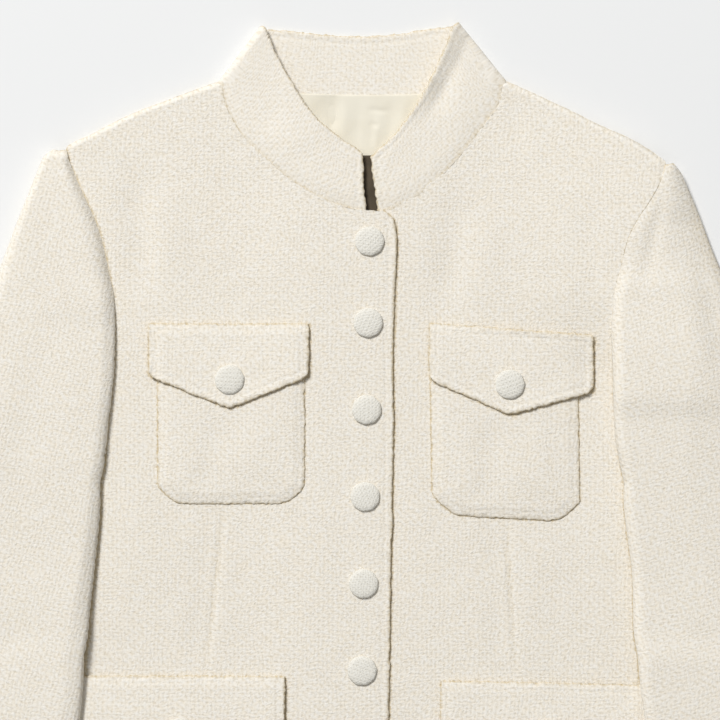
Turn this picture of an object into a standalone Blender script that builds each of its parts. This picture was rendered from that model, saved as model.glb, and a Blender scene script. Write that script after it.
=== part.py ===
"""Cropped tweed jacket, buttoned to the collar and laid flat on its back.

Metres, +Z up, +Y towards the collar and +X towards the side whose front lies underneath. The origin
is on the flat underside of the back panel, near the middle of the laid-out garment. Every cut piece
is a closed cloth wall of its real thickness, and neighbours are SEAM apart. The tables are in
millimetres and are turned to metres when a mesh is made.
"""
import math
from collections import namedtuple

import bmesh
import bpy
import numpy as np

METRES = 0.001          # one millimetre of the tables
WELD = 0.00001          # metres within which points of a turned piece are one

# Cloth and gaps
SEAM = 0.3              # between neighbouring pieces
PANEL = 2.2             # tweed with its interlining: body and sleeves
PATCH = 2.0             # pockets and flaps
BAND = 3.0              # two layers of tweed in the stand collar
SATIN = 1.0             # lining and label

# Levels above the table
FRONT_REST = 5.2        # underside of both fronts, over the back, its lining and the label
ON_FRONT = FRONT_REST + PANEL + SEAM    # what is sewn onto a front starts here
LAP_RISE = PANEL + SEAM             # how far the upper front climbs where it laps the under front
LAP_FOOT, LAP_CREST = -35.0, -23.5  # where that climb starts and ends, in x
EDGE_ROLL = 9.0         # width over which a front turns down to meet the back
SLEEVE_REST = ON_FRONT + PANEL / 2      # middle of a sleeve's wall on the body
TABLE_REST = PANEL / 2              # middle of a wall that lies on the table
TUCK = 1.5              # body edge that runs on under the sleeve at the armhole
RISER_RUN = 12.0        # width in which a sleeve's underside climbs from the table onto the body
RISER_TOP = 1.0         # level end of that climb, at the seam
UNDER_EDGE_X = -20.0    # hidden vertical edge of the under front

# Buttons
BUTTON_RADIUS = 9.75
BUTTON_RISE = 5.4
BUTTON_SIDES = 14
BUTTON_PROFILE = [(0, 0), (0.88, 0), (1, 0.25), (0.93, 0.55), (0.62, 0.87), (0, 1)]     # radius, rise
BUTTON_LINE = (2.9, -3.9)           # x at the top and at the lowest front button
BUTTON_TOP_Y = 191.0
BUTTON_NECK_STEP = 53.0             # from the neck button down to the second
BUTTON_STEP = 56.5                  # between the others
BUTTON_COUNT = 8

Edge = namedtuple("Edge", "x y")
LEFT_EDGE = [           # outline of the body: shoulder, armhole seam, underarm, side seam, hem
    Edge(-95.6, 294.8), Edge(-125, 284), Edge(-151, 274), Edge(-178, 260.5), Edge(-194.5, 251),
    Edge(-194, 246), Edge(-190.5, 236.5), Edge(-184, 222), Edge(-177, 207), Edge(-171.5, 191),
    Edge(-167.5, 172), Edge(-165.2, 155), Edge(-166.5, 139), Edge(-171, 114), Edge(-180, 90),
    Edge(-190, 74), Edge(-203, 58), Edge(-218, 44), Edge(-225, 30), Edge(-221, -20),
    Edge(-210, -80), Edge(-220, -165), Edge(-235, -254)]
RIGHT_EDGE = [
    Edge(91.3, 295.6), Edge(110, 287), Edge(131, 277), Edge(153, 266), Edge(174, 256.5),
    Edge(189, 247), Edge(195.5, 241), Edge(193, 232), Edge(186.5, 219), Edge(178, 206),
    Edge(171, 192), Edge(166.5, 174), Edge(163, 155), Edge(163.5, 139), Edge(168, 114),
    Edge(177, 90), Edge(187, 74), Edge(200, 58), Edge(215, 44), Edge(223, 30), Edge(219, -20),
    Edge(208, -80), Edge(219, -165), Edge(235, -254)]

# A front is a fan of rows from its inner edge (neck seam, then centre) to the body's outline.
# turn is 1 where the outer edge comes down to the back: at the shoulder and the side seam.
FrontRow = namedtuple("FrontRow", "inner_x inner_y outer_y turn")
UPPER_FRONT = [
    FrontRow(-92.4, 292.3, 294.8, 1.0), FrontRow(-90.5, 282, 289, 1.0),
    FrontRow(-81, 263, 279, 1.0), FrontRow(-63, 244.5, 268, 1.0), FrontRow(-42, 227.5, 259, 0.9),
    FrontRow(-21, 216.3, 248.5, 0.2), FrontRow(0, 210.7, 236, 0.0),
    FrontRow(12.5, 210.3, 222, 0.0), FrontRow(19, 204, 207, 0.0),
    FrontRow(21, 189, 191, 0.0), FrontRow(20, 171, 172, 0.0), FrontRow(19.7, 162, 163, 0.0),
    FrontRow(19.5, 154, 155, 0.0), FrontRow(19.2, 147, 147, 0.0), FrontRow(19, 139, 139, 0.0),
    FrontRow(18.5, 114, 114, 0.0), FrontRow(18.5, 90, 90, 0.0), FrontRow(19, 74, 74, 0.0),
    FrontRow(18.5, 58, 58, 0.3), FrontRow(18, 44, 44, 1.0),
    FrontRow(18, 28, 28, 1.0), FrontRow(17, -20, -20, 1.0), FrontRow(16, -80, -80, 1.0),
    FrontRow(15, -165, -165, 1.0), FrontRow(14.5, -254, -254, 1.0)]
UNDER_FRONT = [
    FrontRow(88.5, 293.2, 295.6, 1.0), FrontRow(86.5, 283, 289, 1.0),
    FrontRow(73, 262.5, 272, 1.0), FrontRow(50.5, 236.5, 260, 1.0),
    FrontRow(30.5, 220.5, 249, 0.8), FrontRow(13, 210.5, 238.5, 0.1),
    FrontRow(-8, 208.5, 226, 0.0), FrontRow(UNDER_EDGE_X, 203, 214, 0.0),
    FrontRow(UNDER_EDGE_X, 196, 202, 0.0), FrontRow(UNDER_EDGE_X, 186, 189, 0.0),
    FrontRow(UNDER_EDGE_X, 171, 172, 0.0), FrontRow(UNDER_EDGE_X, 163, 163, 0.0),
    FrontRow(UNDER_EDGE_X, 155, 155, 0.0), FrontRow(UNDER_EDGE_X, 147, 147, 0.0),
    FrontRow(UNDER_EDGE_X, 139, 139, 0.0), FrontRow(UNDER_EDGE_X, 114, 114, 0.0),
    FrontRow(UNDER_EDGE_X, 90, 90, 0.0), FrontRow(UNDER_EDGE_X, 74, 74, 0.0),
    FrontRow(UNDER_EDGE_X, 58, 58, 0.3), FrontRow(UNDER_EDGE_X, 44, 44, 1.0),
    FrontRow(UNDER_EDGE_X, 28, 28, 1.0), FrontRow(UNDER_EDGE_X, -20, -20, 1.0),
    FrontRow(UNDER_EDGE_X, -80, -80, 1.0), FrontRow(UNDER_EDGE_X, -165, -165, 1.0),
    FrontRow(UNDER_EDGE_X, -254, -254, 1.0)]
LAP_COLUMNS = (0, 14, 30, 42, 48, 56)           # distances from the inner edge, across the lap
LAP_SHARE = 0.45        # most of a short row that those may take
SIDE_COLUMNS = (0.3, 0.62, 0.86, 0.94, 0.98, 1)     # shares of the rest, finer where it turns down

# A sleeve is one wall rolled from the front seam, over the top, round the outer fold and back
# underneath. hook is how far its front fold lies over the body, rest and crown are the levels of
# the wall under and over the arm, and lift is 1 where the underside climbs to close the tube.
Section = namedtuple("Section", "seam_y out_x out_y hook rest crown roll_in roll_out lift")
ON_BODY, ON_FLAP, ON_TABLE = SLEEVE_REST, SLEEVE_REST + 4.6, TABLE_REST
LEFT_SLEEVE = [
    Section(248.5, -202.5, 250.4, 0, ON_BODY, 10.4, 2.6, 2.7, 0),
    Section(243, -209.3, 245.6, 0, ON_BODY, 13, 6, 4.5, 0),
    Section(236, -213, 237, 0, ON_BODY, 15, 10, 7, 0),
    Section(222, -219, 222, 0, ON_BODY, 16.8, 15, 11, 0),
    Section(207, -225, 207, 0, ON_BODY, 18, 19, 14, 0),
    Section(191, -231, 191, 0, ON_BODY, 18.8, 21, 15, 0),
    Section(172, -238, 172, 0, ON_BODY, 19, 20, 16, 0),
    Section(163, -241, 163, 0.2, ON_BODY, 19, 17, 16, 0),
    Section(155, -244, 155, 0.7, ON_BODY, 19, 14, 16, 0),
    Section(147, -247, 147, 1.6, ON_BODY, 19, 11.5, 16, 0),
    Section(139, -250, 139, 3, ON_BODY, 19, 9.5, 16, 0),
    Section(114, -259, 114, 7.5, ON_BODY, 19, 7, 16, 0),
    Section(90, -267.5, 90, 14.5, ON_BODY, 19, 6, 16, 0),
    Section(74, -273, 74, 22.5, ON_BODY, 19, 5.5, 16, 0),
    Section(58, -279, 58, 34, ON_BODY, 19, 5.5, 16, 0),
    Section(44, -284, 44, 48, ON_BODY, 19, 5.5, 16, 1),
    Section(28, -290, 28, 53, ON_BODY, 19, 5.5, 16, 1),
    Section(-20, -305, -20, 45.5, ON_BODY, 19, 5.5, 15, 1),
    Section(-60, -315.5, -60, 33, ON_BODY + 1.5, 20, 5.5, 15, 1),
    Section(-84, -321, -84, 27.5, ON_FLAP, 22, 5.5, 15, 1),
    Section(-125, -327.5, -125, 28, ON_FLAP, 22, 5.5, 15, 1),
    Section(-175, -333.5, -175, 31, ON_BODY + 1.5, 21, 5.5, 14, 1),
    Section(-235, -336, -235, 37, ON_BODY, 20, 5.5, 14, 1),
    Section(-260, -335.5, -262, 38, ON_BODY, 18.5, 5, 13, 1),
    Section(-288, -334, -291, 37.5, ON_TABLE + 1.5, 17, 6, 12, 1),
    Section(-312, -332.5, -318, 37, ON_TABLE, 15.5, 6, 10, 1),
    Section(-330, -331, -338, 36, ON_TABLE, 14.5, 6, 9, 1)]
RIGHT_SLEEVE = [
    Section(238.5, 201.6, 240.2, 0, ON_BODY, 10.4, 2.6, 2.7, 0),
    Section(233, 205.8, 233.6, 0, ON_BODY, 13, 5.5, 4, 0),
    Section(226, 208.8, 226, 0, ON_BODY, 15, 8.5, 6, 0),
    Section(214, 214, 214, 0, ON_BODY, 16.8, 13, 10, 0),
    Section(202, 219, 202, 0, ON_BODY, 18, 17, 13, 0),
    Section(189, 223.6, 189, 0, ON_BODY, 18.8, 20, 15, 0),
    Section(172, 231, 172, 0, ON_BODY, 19, 20, 16, 0),
    Section(163, 234.6, 163, 0.2, ON_BODY, 19, 17, 16, 0),
    Section(155, 238, 155, 0.6, ON_BODY, 19, 14, 16, 0),
    Section(147, 241, 147, 1.2, ON_BODY, 19, 11.5, 16, 0),
    Section(139, 244, 139, 2.2, ON_BODY, 19, 9.5, 16, 0),
    Section(114, 253.5, 114, 6.5, ON_BODY, 19, 7, 16, 0),
    Section(90, 262, 90, 15, ON_BODY, 19, 6, 16, 0),
    Section(74, 268, 74, 24.5, ON_BODY, 19, 5.5, 16, 0),
    Section(58, 274, 58, 36, ON_BODY, 19, 5.5, 16, 0),
    Section(44, 279, 44, 49, ON_BODY, 19, 5.5, 16, 1),
    Section(28, 285, 28, 55, ON_BODY, 19, 5.5, 16, 1),
    Section(-20, 300, -20, 46, ON_BODY, 19, 5.5, 15, 1),
    Section(-60, 311, -60, 36, ON_BODY + 1.5, 20, 5.5, 15, 1),
    Section(-84, 317, -84, 30.5, ON_FLAP, 22, 5.5, 15, 1),
    Section(-125, 325, -125, 30, ON_FLAP, 22, 5.5, 15, 1),
    Section(-175, 332, -175, 34, ON_BODY + 1.5, 21, 5.5, 14, 1),
    Section(-235, 335, -235, 39, ON_BODY, 20, 5.5, 14, 1),
    Section(-260, 334.5, -262, 40, ON_BODY, 18.5, 5, 13, 1),
    Section(-288, 333, -291, 39, ON_TABLE + 1.5, 17, 6, 12, 1),
    Section(-312, 331.5, -318, 38, ON_TABLE, 15.5, 6, 10, 1),
    Section(-330, 330, -338, 37, ON_TABLE, 14.5, 6, 9, 1)]
SLEEVE_POINTS = 22      # round one sleeve section
SEAM_OUTSET = 0.72      # sleeve seam outside the body's side, where the tube is closed
TUCK_STEPS, RISER_STEPS = 6, 8      # points along the tucked part and up the riser, before thinning
TINY = 1e-6             # points nearer than this are one
FULL_HOOK = 10.0        # a front fold this deep gets its full share of those points
BEND_SHARE = 0.9        # points given to the bends of a section, against those given to its length
CUFF_SEAM_X = 240.0     # sleeve seam at the cuff, each side of the middle

# The stand collar runs from its left front end round the back of the neck to its right front end.
# seam is the edge sewn to the neck and edge is the free one. A leaf and the back meet at a fold line.
CollarRow = namedtuple("CollarRow", "seam_x seam_y edge_x edge_y")
LEFT_LEAF = [
    CollarRow(-0.3, 211.2, -1.2, 247.5), CollarRow(-21, 217, -20, 260.5),
    CollarRow(-42, 228.2, -35, 274.5), CollarRow(-62.5, 245.2, -48.5, 295),
    CollarRow(-80.6, 263.5, -59, 314), CollarRow(-89.9, 282.3, -63.5, 324.5),
    CollarRow(-92.1, 292.8, -65.1, 328.8)]
COLLAR_BACK = [
    LEFT_LEAF[-1], CollarRow(-66, 289, -48, 327.5), CollarRow(-40, 286.3, -26, 325),
    CollarRow(0, 285.8, 0, 324), CollarRow(36, 286.3, 24, 325.8), CollarRow(62, 289.2, 42, 328.8),
    CollarRow(88.2, 293.7, 58.2, 330.7)]
RIGHT_LEAF = [
    COLLAR_BACK[-1], CollarRow(86, 283.4, 54, 320), CollarRow(72.5, 263, 46, 302.5),
    CollarRow(50, 237.2, 36, 283), CollarRow(30, 221.2, 21, 262), CollarRow(8, 211, 4.4, 245)]
FOLD_ANGLES = (-45, 0, 45)          # rows of the collar on its way round a side fold
BAND_LINES = 4                      # from its seam to its free edge

# Patch pockets: corners of the bag, and the flap's upper edge, sides and point
SWAY = 0.3              # how far a tilted pocket's lower end swings sideways, against its tilt
Pocket = namedtuple("Pocket", "left right mouth bottom tilt chamfer")
POCKETS = {
    "chest_pocket_left": Pocket(-135, -39, 120, 20, 0.0, 13),
    "chest_pocket_right": Pocket(42, 138.5, 118, 13, -5.0, 15),
    "hip_pocket_left": Pocket(-187, -54, -108, -232, 0.0, 18),
    "hip_pocket_right": Pocket(51, 184, -110, -232, -2.0, 18)}
Flap = namedtuple("Flap", "left right top side point point_x tilt button_y")
FLAPS = {
    "chest_flap_left": Flap(-141, -36.5, 137.5, 103, 83, -88, 0.0, 101),
    "chest_flap_right": Flap(41.5, 148.5, 138, 105, 82.5, 94, -8.0, 98),
    "hip_flap_left": Flap(-188, -52, -91.5, -126, -148, -120, 0.0, -128),
    "hip_flap_right": Flap(49, 185, -94.5, -128, -150, 117, -3.0, -130)}
FLAP_COLUMNS = (0, 0.25, 0.5, 0.75, 1)      # shares of the way from the point to either side
FLAP_LINES = (0, 0.12, 0.24, 0.6, 1)        # shares of the way down
FLAP_CLIMB = 10.0       # height over which a flap rises from the front onto its pocket

NECKLINE_GAP = 0.42     # back panel to the collar, which meet along a curve
LINING_GAP = 1.0        # lining to the collar, whose seam it is felled to
LINING = (-86.0, 82.0, 188.0)       # left, right and lower edge of the lining that shows
LABEL = (-30.0, 36.0, 205.0, 247.0)     # left, right, lower and upper edge of the neck label

COLOURS = {"tweed": (0.82, 0.77, 0.67), "satin": (0.83, 0.77, 0.58), "button": (0.80, 0.78, 0.71),
           "label": (0.07, 0.055, 0.035)}
MATERIALS = {}


def material(kind):
    """A plain matt finish for one kind of cloth, made once."""
    if kind not in MATERIALS:
        finish = bpy.data.materials.new(kind)
        finish.use_nodes = True
        shader = finish.node_tree.nodes["Principled BSDF"]
        shader.inputs["Base Color"].default_value = (*COLOURS[kind], 1)
        shader.inputs["Roughness"].default_value = 0.9
        shader.inputs["Metallic"].default_value = 0.0
        MATERIALS[kind] = finish
    return MATERIALS[kind]


def add_object(name, mesh, kind, smooth_angle=40):
    """Place a finished bmesh in the scene as one named piece."""
    bmesh.ops.recalc_face_normals(mesh, faces=mesh.faces)
    data = bpy.data.meshes.new(name)
    mesh.to_mesh(data)
    mesh.free()
    data.shade_smooth()
    data.set_sharp_from_angle(angle=math.radians(smooth_angle))
    data.materials.append(material(kind))
    piece = bpy.data.objects.new(name, data)
    bpy.context.scene.collection.objects.link(piece)
    return piece


def add_wall(name, under, over, kind):
    """Close two grids of points, in millimetres, into one cloth wall."""
    rows, columns = under.shape[:2]
    mesh = bmesh.new()
    low = [[mesh.verts.new(under[r, c] * METRES) for c in range(columns)] for r in range(rows)]
    top = [[mesh.verts.new(over[r, c] * METRES) for c in range(columns)] for r in range(rows)]
    for r in range(rows - 1):
        for c in range(columns - 1):
            mesh.faces.new((top[r][c], top[r][c + 1], top[r + 1][c + 1], top[r + 1][c]))
            mesh.faces.new((low[r][c], low[r + 1][c], low[r + 1][c + 1], low[r][c + 1]))
    rim = [(0, c) for c in range(columns)] + [(r, columns - 1) for r in range(1, rows)]
    rim += [(rows - 1, c) for c in range(columns - 2, -1, -1)] + [(r, 0) for r in range(rows - 2, 0, -1)]
    for here, there in zip(rim, rim[1:] + rim[:1]):
        mesh.faces.new((low[here[0]][here[1]], low[there[0]][there[1]],
                        top[there[0]][there[1]], top[here[0]][here[1]]))
    return add_object(name, mesh, kind)


def add_slab(name, outline, level, thickness, kind):
    """A flat piece: its outline filled and pulled up to its thickness."""
    mesh = bmesh.new()
    corners = [mesh.verts.new((x * METRES, y * METRES, level * METRES)) for x, y in outline]
    face = mesh.faces.new(corners)
    pulled = bmesh.ops.extrude_face_region(mesh, geom=[face])
    raised = [item for item in pulled["geom"] if isinstance(item, bmesh.types.BMVert)]
    bmesh.ops.translate(mesh, verts=raised, vec=(0, 0, thickness * METRES))
    return add_object(name, mesh, kind)


def through(knots, values, places):
    """Smooth curve through the rows of a table that never swings past them."""
    knots, values, places = (np.asarray(a, float) for a in (knots, values, places))
    steps = np.diff(knots)
    slopes = np.diff(values) / steps
    tangents = np.empty(len(values))
    tangents[0], tangents[-1] = slopes[0], slopes[-1]
    for i in range(1, len(slopes)):
        before, after = slopes[i - 1], slopes[i]
        flat = before * after <= 0
        near, far = 2 * steps[i] + steps[i - 1], steps[i] + 2 * steps[i - 1]
        tangents[i] = 0 if flat else (near + far) / (near / before + far / after)
    index = np.clip(np.searchsorted(knots, places, side="right") - 1, 0, len(steps) - 1)
    run = steps[index]
    t = (places - knots[index]) / run
    return ((2 * t ** 3 - 3 * t ** 2 + 1) * values[index] + (t ** 3 - 2 * t ** 2 + t) * run * tangents[index]
            + (3 * t ** 2 - 2 * t ** 3) * values[index + 1] + (t ** 3 - t ** 2) * run * tangents[index + 1])


def blend(value, start, end):
    """0 before start, 1 after end, and a smooth ramp between them."""
    t = np.clip((value - start) / (end - start), 0, 1)
    return t * t * (3 - 2 * t)


def edge_x(edge, y):
    """x of the body's outline at a height y."""
    rising = edge[::-1]
    return through([row.y for row in rising], [row.x for row in rising], y)


def front_rows(table, edge, side):
    """Inner point, outer point and turn of each row of a front."""
    rows = []
    for row in table:
        armhole = 1 - row.turn
        outer_x = edge_x(edge, row.outer_y) + side * TUCK * armhole
        rows.append((row.inner_x, row.inner_y, float(outer_x), row.outer_y, row.turn))
    return np.array(rows)


def front_points(rows, lapping):
    """Grid of the underside of a front."""
    width = np.hypot(rows[:, 2:3] - rows[:, 0:1], rows[:, 3:4] - rows[:, 1:2])
    lap = np.array(LAP_COLUMNS)[None, :] / width
    lap *= np.minimum(1, LAP_SHARE / lap[:, -1:])
    share = np.hstack([lap, lap[:, -1:] + (1 - lap[:, -1:]) * np.array(SIDE_COLUMNS)[None, :]])
    x = rows[:, 0:1] + (rows[:, 2:3] - rows[:, 0:1]) * share
    y = rows[:, 1:2] + (rows[:, 3:4] - rows[:, 1:2]) * share
    to_edge = (1 - share) * width
    drop = (FRONT_REST - PANEL - SEAM) * rows[:, 4:5] * (1 - blend(to_edge, 0, EDGE_ROLL))
    z = FRONT_REST - drop
    if lapping:
        z = z + LAP_RISE * blend(x, LAP_FOOT, LAP_CREST)
    return np.stack([x, y, z], axis=2)


def make_front(name, table, edge, side, lapping):
    """One front, from its neck seam and centre edge out to the body's outline."""
    under = front_points(front_rows(table, edge, side), lapping)
    return add_wall(name, under, under + np.array([0, 0, PANEL]), "tweed")


def make_back():
    """The back: a flat panel whose outline is the fronts' outer edge and the neckline."""
    left = [(row[2], row[3]) for row in front_rows(UPPER_FRONT, LEFT_EDGE, -1)]
    right = [(row[2], row[3]) for row in front_rows(UNDER_FRONT, RIGHT_EDGE, 1)]
    neckline = [(row.seam_x, row.seam_y - NECKLINE_GAP) for row in COLLAR_BACK]
    return add_slab("back", left[::-1] + neckline + right, 0, PANEL, "tweed")


def sleeve_path(row, reach):
    """Middle of the wall in one section, as distance out from the seam and level, with the weight
    that its bends get. It starts at the front seam and ends at the back one."""
    far = reach - PANEL / 2
    low = min(row.roll_in, row.hook)
    fold = row.rest + min(1, row.hook / row.roll_in) * (row.crown - row.rest) / 2
    roundness = 2 * (fold - row.rest) / (row.crown - row.rest)
    quarter = np.radians(np.arange(0, 91, 6))
    tuck = [(-(row.hook - low) * k / TUCK_STEPS, row.rest) for k in range(TUCK_STEPS)]
    tuck += [(-row.hook + low * (1 - math.sin(a)), row.rest + (fold - row.rest) * (1 - math.cos(a)))
             for a in quarter]
    rise = [(-row.hook + row.roll_in * (roundness * (1 - math.cos(a)) + (1 - roundness) * a / quarter[-1]),
             fold + (row.crown - fold) * math.sin(a)) for a in quarter[1:]]
    middle, half = (row.crown + TABLE_REST) / 2, (row.crown - TABLE_REST) / 2
    turn = [(far - row.roll_out * (1 - math.sin(a)), middle + half * math.cos(a))
            for a in np.radians(np.arange(0, 181, 6))]
    end = SEAM + TUCK * (1 - row.lift)
    climb = row.lift * (row.rest - TABLE_REST)
    riser = [(end + RISER_TOP + RISER_RUN * (1 - k / RISER_STEPS),
              TABLE_REST + climb * float(blend(k / RISER_STEPS, 0, 1))) for k in range(RISER_STEPS + 1)]
    last = [(end, TABLE_REST + climb)]
    path = np.array(tuck + rise + turn + (riser if row.lift else []) + last)
    weight = np.ones(len(path))
    weight[:len(tuck)] = min(1, row.hook / FULL_HOOK)
    distinct = np.append(True, np.hypot(*np.diff(path, axis=0).T) > TINY)
    return path[distinct], weight[distinct]


def spread(path, weight, count):
    """Points along a path, closer together where it bends."""
    legs = np.diff(path, axis=0)
    length = np.hypot(*legs.T)
    heading = np.unwrap(np.arctan2(legs[:, 1], legs[:, 0]))
    bend = np.abs(np.diff(heading, prepend=heading[0])) * weight[:-1]
    measure = np.append(0, np.cumsum(length / length.sum() + BEND_SHARE * bend / math.tau))
    places = np.linspace(0, measure[-1], count)
    return np.stack([np.interp(places, measure, path[:, k]) for k in (0, 1)], axis=1)


def seam_x(row, table, edge, side):
    """x of a sleeve's seam: on the armhole, then beside the body, then in line down to the cuff."""
    hem = edge[-1]
    if row.seam_y >= hem.y:
        on_body = float(edge_x(edge, row.seam_y))
    else:
        below = (hem.y - row.seam_y) / (hem.y - table[-1].seam_y)
        on_body = hem.x + (side * CUFF_SEAM_X - hem.x) * below
    return on_body + side * SEAM_OUTSET * row.lift


def make_sleeve(name, table, edge, side):
    """One wall rolled into an open tube that is sewn to the armhole."""
    under, over = [], []
    for row in table:
        seam = np.array([seam_x(row, table, edge, side), row.seam_y])
        outward = np.array([row.out_x, row.out_y]) - seam
        reach = float(np.hypot(*outward))
        path = spread(*sleeve_path(row, reach), SLEEVE_POINTS)
        tangent = np.gradient(path, axis=0)
        tangent /= np.hypot(*tangent.T)[:, None]
        normal = np.stack([-tangent[:, 1], tangent[:, 0]], axis=1)
        for grid, offset in ((over, PANEL / 2), (under, -PANEL / 2)):
            moved = path + normal * offset
            flat = seam[None, :] + moved[:, 0:1] * outward[None, :] / reach
            grid.append(np.column_stack([flat, moved[:, 1]]))
    return add_wall(name, np.array(under), np.array(over), "tweed")


def fold_row(row, side, angle, radius):
    """One row of the collar on its way round a side fold."""
    run = np.array([row.edge_x - row.seam_x, row.edge_y - row.seam_y])
    run /= np.hypot(*run)
    shift = np.array([run[1], -run[0]]) * side * radius * math.cos(math.radians(angle))
    level = BAND / 2 + radius * (1 + math.sin(math.radians(angle)))
    return ((row.seam_x + shift[0], row.seam_y + shift[1], level),
            (row.edge_x + shift[0], row.edge_y + shift[1], level))


def flat_row(row, level, lapping=False):
    """One row of the collar where it lies flat, or climbs with the upper front."""
    seam_rise, edge_rise = (LAP_RISE * lapping * blend(x, LAP_FOOT, LAP_CREST)
                            for x in (row.seam_x, row.edge_x))
    return ((row.seam_x, row.seam_y, level + seam_rise), (row.edge_x, row.edge_y, level + edge_rise))


def make_collar():
    """A band folded flat: two leaves in front, the back of the neck behind."""
    front = FRONT_REST + BAND / 2
    radius = (front - BAND / 2) / 2
    rows = [flat_row(row, front, lapping=True) for row in LEFT_LEAF]
    rows += [fold_row(LEFT_LEAF[-1], -1, -angle, radius) for angle in FOLD_ANGLES]
    rows += [flat_row(row, BAND / 2) for row in COLLAR_BACK]
    rows += [fold_row(RIGHT_LEAF[0], 1, angle, radius) for angle in FOLD_ANGLES]
    rows += [flat_row(row, front) for row in RIGHT_LEAF]
    seam, edge = (np.array([row[k] for row in rows]) for k in (0, 1))
    share = np.linspace(0, 1, BAND_LINES)[:, None, None]
    middle = seam[None] * (1 - share) + edge[None] * share
    normal = np.cross(np.gradient(middle, axis=1), np.gradient(middle, axis=0))
    normal /= np.linalg.norm(normal, axis=2)[:, :, None]
    return add_wall("collar", middle - normal * BAND / 2, middle + normal * BAND / 2, "tweed")


def make_pocket(name, pocket):
    """A patch pocket lying on its front, with cut lower corners."""
    cut = pocket.chamfer
    outline = [(pocket.left, pocket.bottom + cut), (pocket.left + cut, pocket.bottom),
               (pocket.right - cut, pocket.bottom), (pocket.right, pocket.bottom + cut),
               (pocket.right, pocket.mouth), (pocket.left, pocket.mouth)]
    lean = pocket.tilt / (pocket.right - pocket.left)
    outline = [(x + lean * (y - pocket.mouth) * SWAY, y + lean * (x - pocket.left)) for x, y in outline]
    return add_slab(name, outline, ON_FRONT, PATCH, "tweed")


def make_flap(name, flap):
    """A pointed flap, sewn to the front along its top and lying on the pocket below."""
    share = np.array(FLAP_COLUMNS)
    left, right = flap.point_x - flap.left, flap.right - flap.point_x
    x = flap.point_x + np.concatenate([-left * share[::-1], right * share[1:]])
    toward_point = 1 - np.concatenate([share[::-1], share[1:]])
    bottom = flap.side - (flap.side - flap.point) * toward_point
    tilt = flap.tilt * (x - flap.left) / (flap.right - flap.left)
    down = (flap.top - bottom)[None, :] * np.array(FLAP_LINES)[:, None]
    z = ON_FRONT + (PATCH + SEAM) * blend(down, 0, FLAP_CLIMB)
    under = np.stack([np.broadcast_to(x, down.shape), flap.top + tilt[None, :] - down, z], axis=2)
    return add_wall(name, under, under + np.array([0, 0, PATCH]), "tweed")


def make_button(name, x, y, level):
    """A cloth-covered button: a low dome turned about its own axis."""
    mesh = bmesh.new()
    points = [(radius * BUTTON_RADIUS, rise * BUTTON_RISE) for radius, rise in BUTTON_PROFILE]
    verts = [mesh.verts.new(((x + r) * METRES, y * METRES, (level + z) * METRES)) for r, z in points]
    edges = [mesh.edges.new(pair) for pair in zip(verts, verts[1:])]
    bmesh.ops.spin(mesh, geom=verts + edges, cent=(x * METRES, y * METRES, 0), axis=(0, 0, 1),
                   angle=math.tau, steps=BUTTON_SIDES, use_merge=True)
    bmesh.ops.remove_doubles(mesh, verts=mesh.verts, dist=WELD)
    return add_object(name, mesh, "button")


def make_buttons():
    """Eight down the upper front, and one on each flap."""
    drops = [0] + [BUTTON_NECK_STEP + BUTTON_STEP * number for number in range(BUTTON_COUNT - 1)]
    for number, drop in enumerate(drops):
        x = BUTTON_LINE[0] + (BUTTON_LINE[1] - BUTTON_LINE[0]) * drop / drops[-1]
        make_button(f"front_button_{number + 1}", x, BUTTON_TOP_Y - drop, ON_FRONT + LAP_RISE)
    for name, flap in FLAPS.items():
        make_button(name.replace("flap", "button"), flap.point_x, flap.button_y,
                    ON_FRONT + 2 * (PATCH + SEAM))


def make_lining():
    """The satin back lining where the neck leaves it in sight, and the plain label sewn to it."""
    left, right, low = LINING
    top = [(row.seam_x, row.seam_y - LINING_GAP) for row in COLLAR_BACK[1:-1]]
    outline = [(left, low), (right, low), (right, top[-1][1])] + top[::-1] + [(left, top[0][1])]
    add_slab("back_lining", outline, PANEL + SEAM, SATIN, "satin")
    left, right, low, high = LABEL
    outline = [(left, low), (right, low), (right, high), (left, high)]
    add_slab("neck_label", outline, PANEL + SEAM + SATIN + SEAM, SATIN, "label")


for old in list(bpy.data.objects):
    bpy.data.objects.remove(old, do_unlink=True)

make_back()
make_lining()
make_front("front_right", UNDER_FRONT, RIGHT_EDGE, 1, lapping=False)
make_front("front_left", UPPER_FRONT, LEFT_EDGE, -1, lapping=True)
make_sleeve("sleeve_left", LEFT_SLEEVE, LEFT_EDGE, -1)
make_sleeve("sleeve_right", RIGHT_SLEEVE, RIGHT_EDGE, 1)
make_collar()
for pocket_name, pocket_row in POCKETS.items():
    make_pocket(pocket_name, pocket_row)
for flap_name, flap_row in FLAPS.items():
    make_flap(flap_name, flap_row)
make_buttons()
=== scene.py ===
"""Cropped boucle-tweed jacket with a stand collar, buttoned up and laid flat on its back.

The tables are in millimetres, in the frame of the solids: +Z up, +Y towards the collar. Each cut piece
becomes one thin cloth shell on the form of its solid, with the turned edges, stitched grooves, darts
and soft creases that lie in it. Sections follow the jacket as it is sewn, from the back panel up.
"""
import math
from collections import namedtuple

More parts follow.
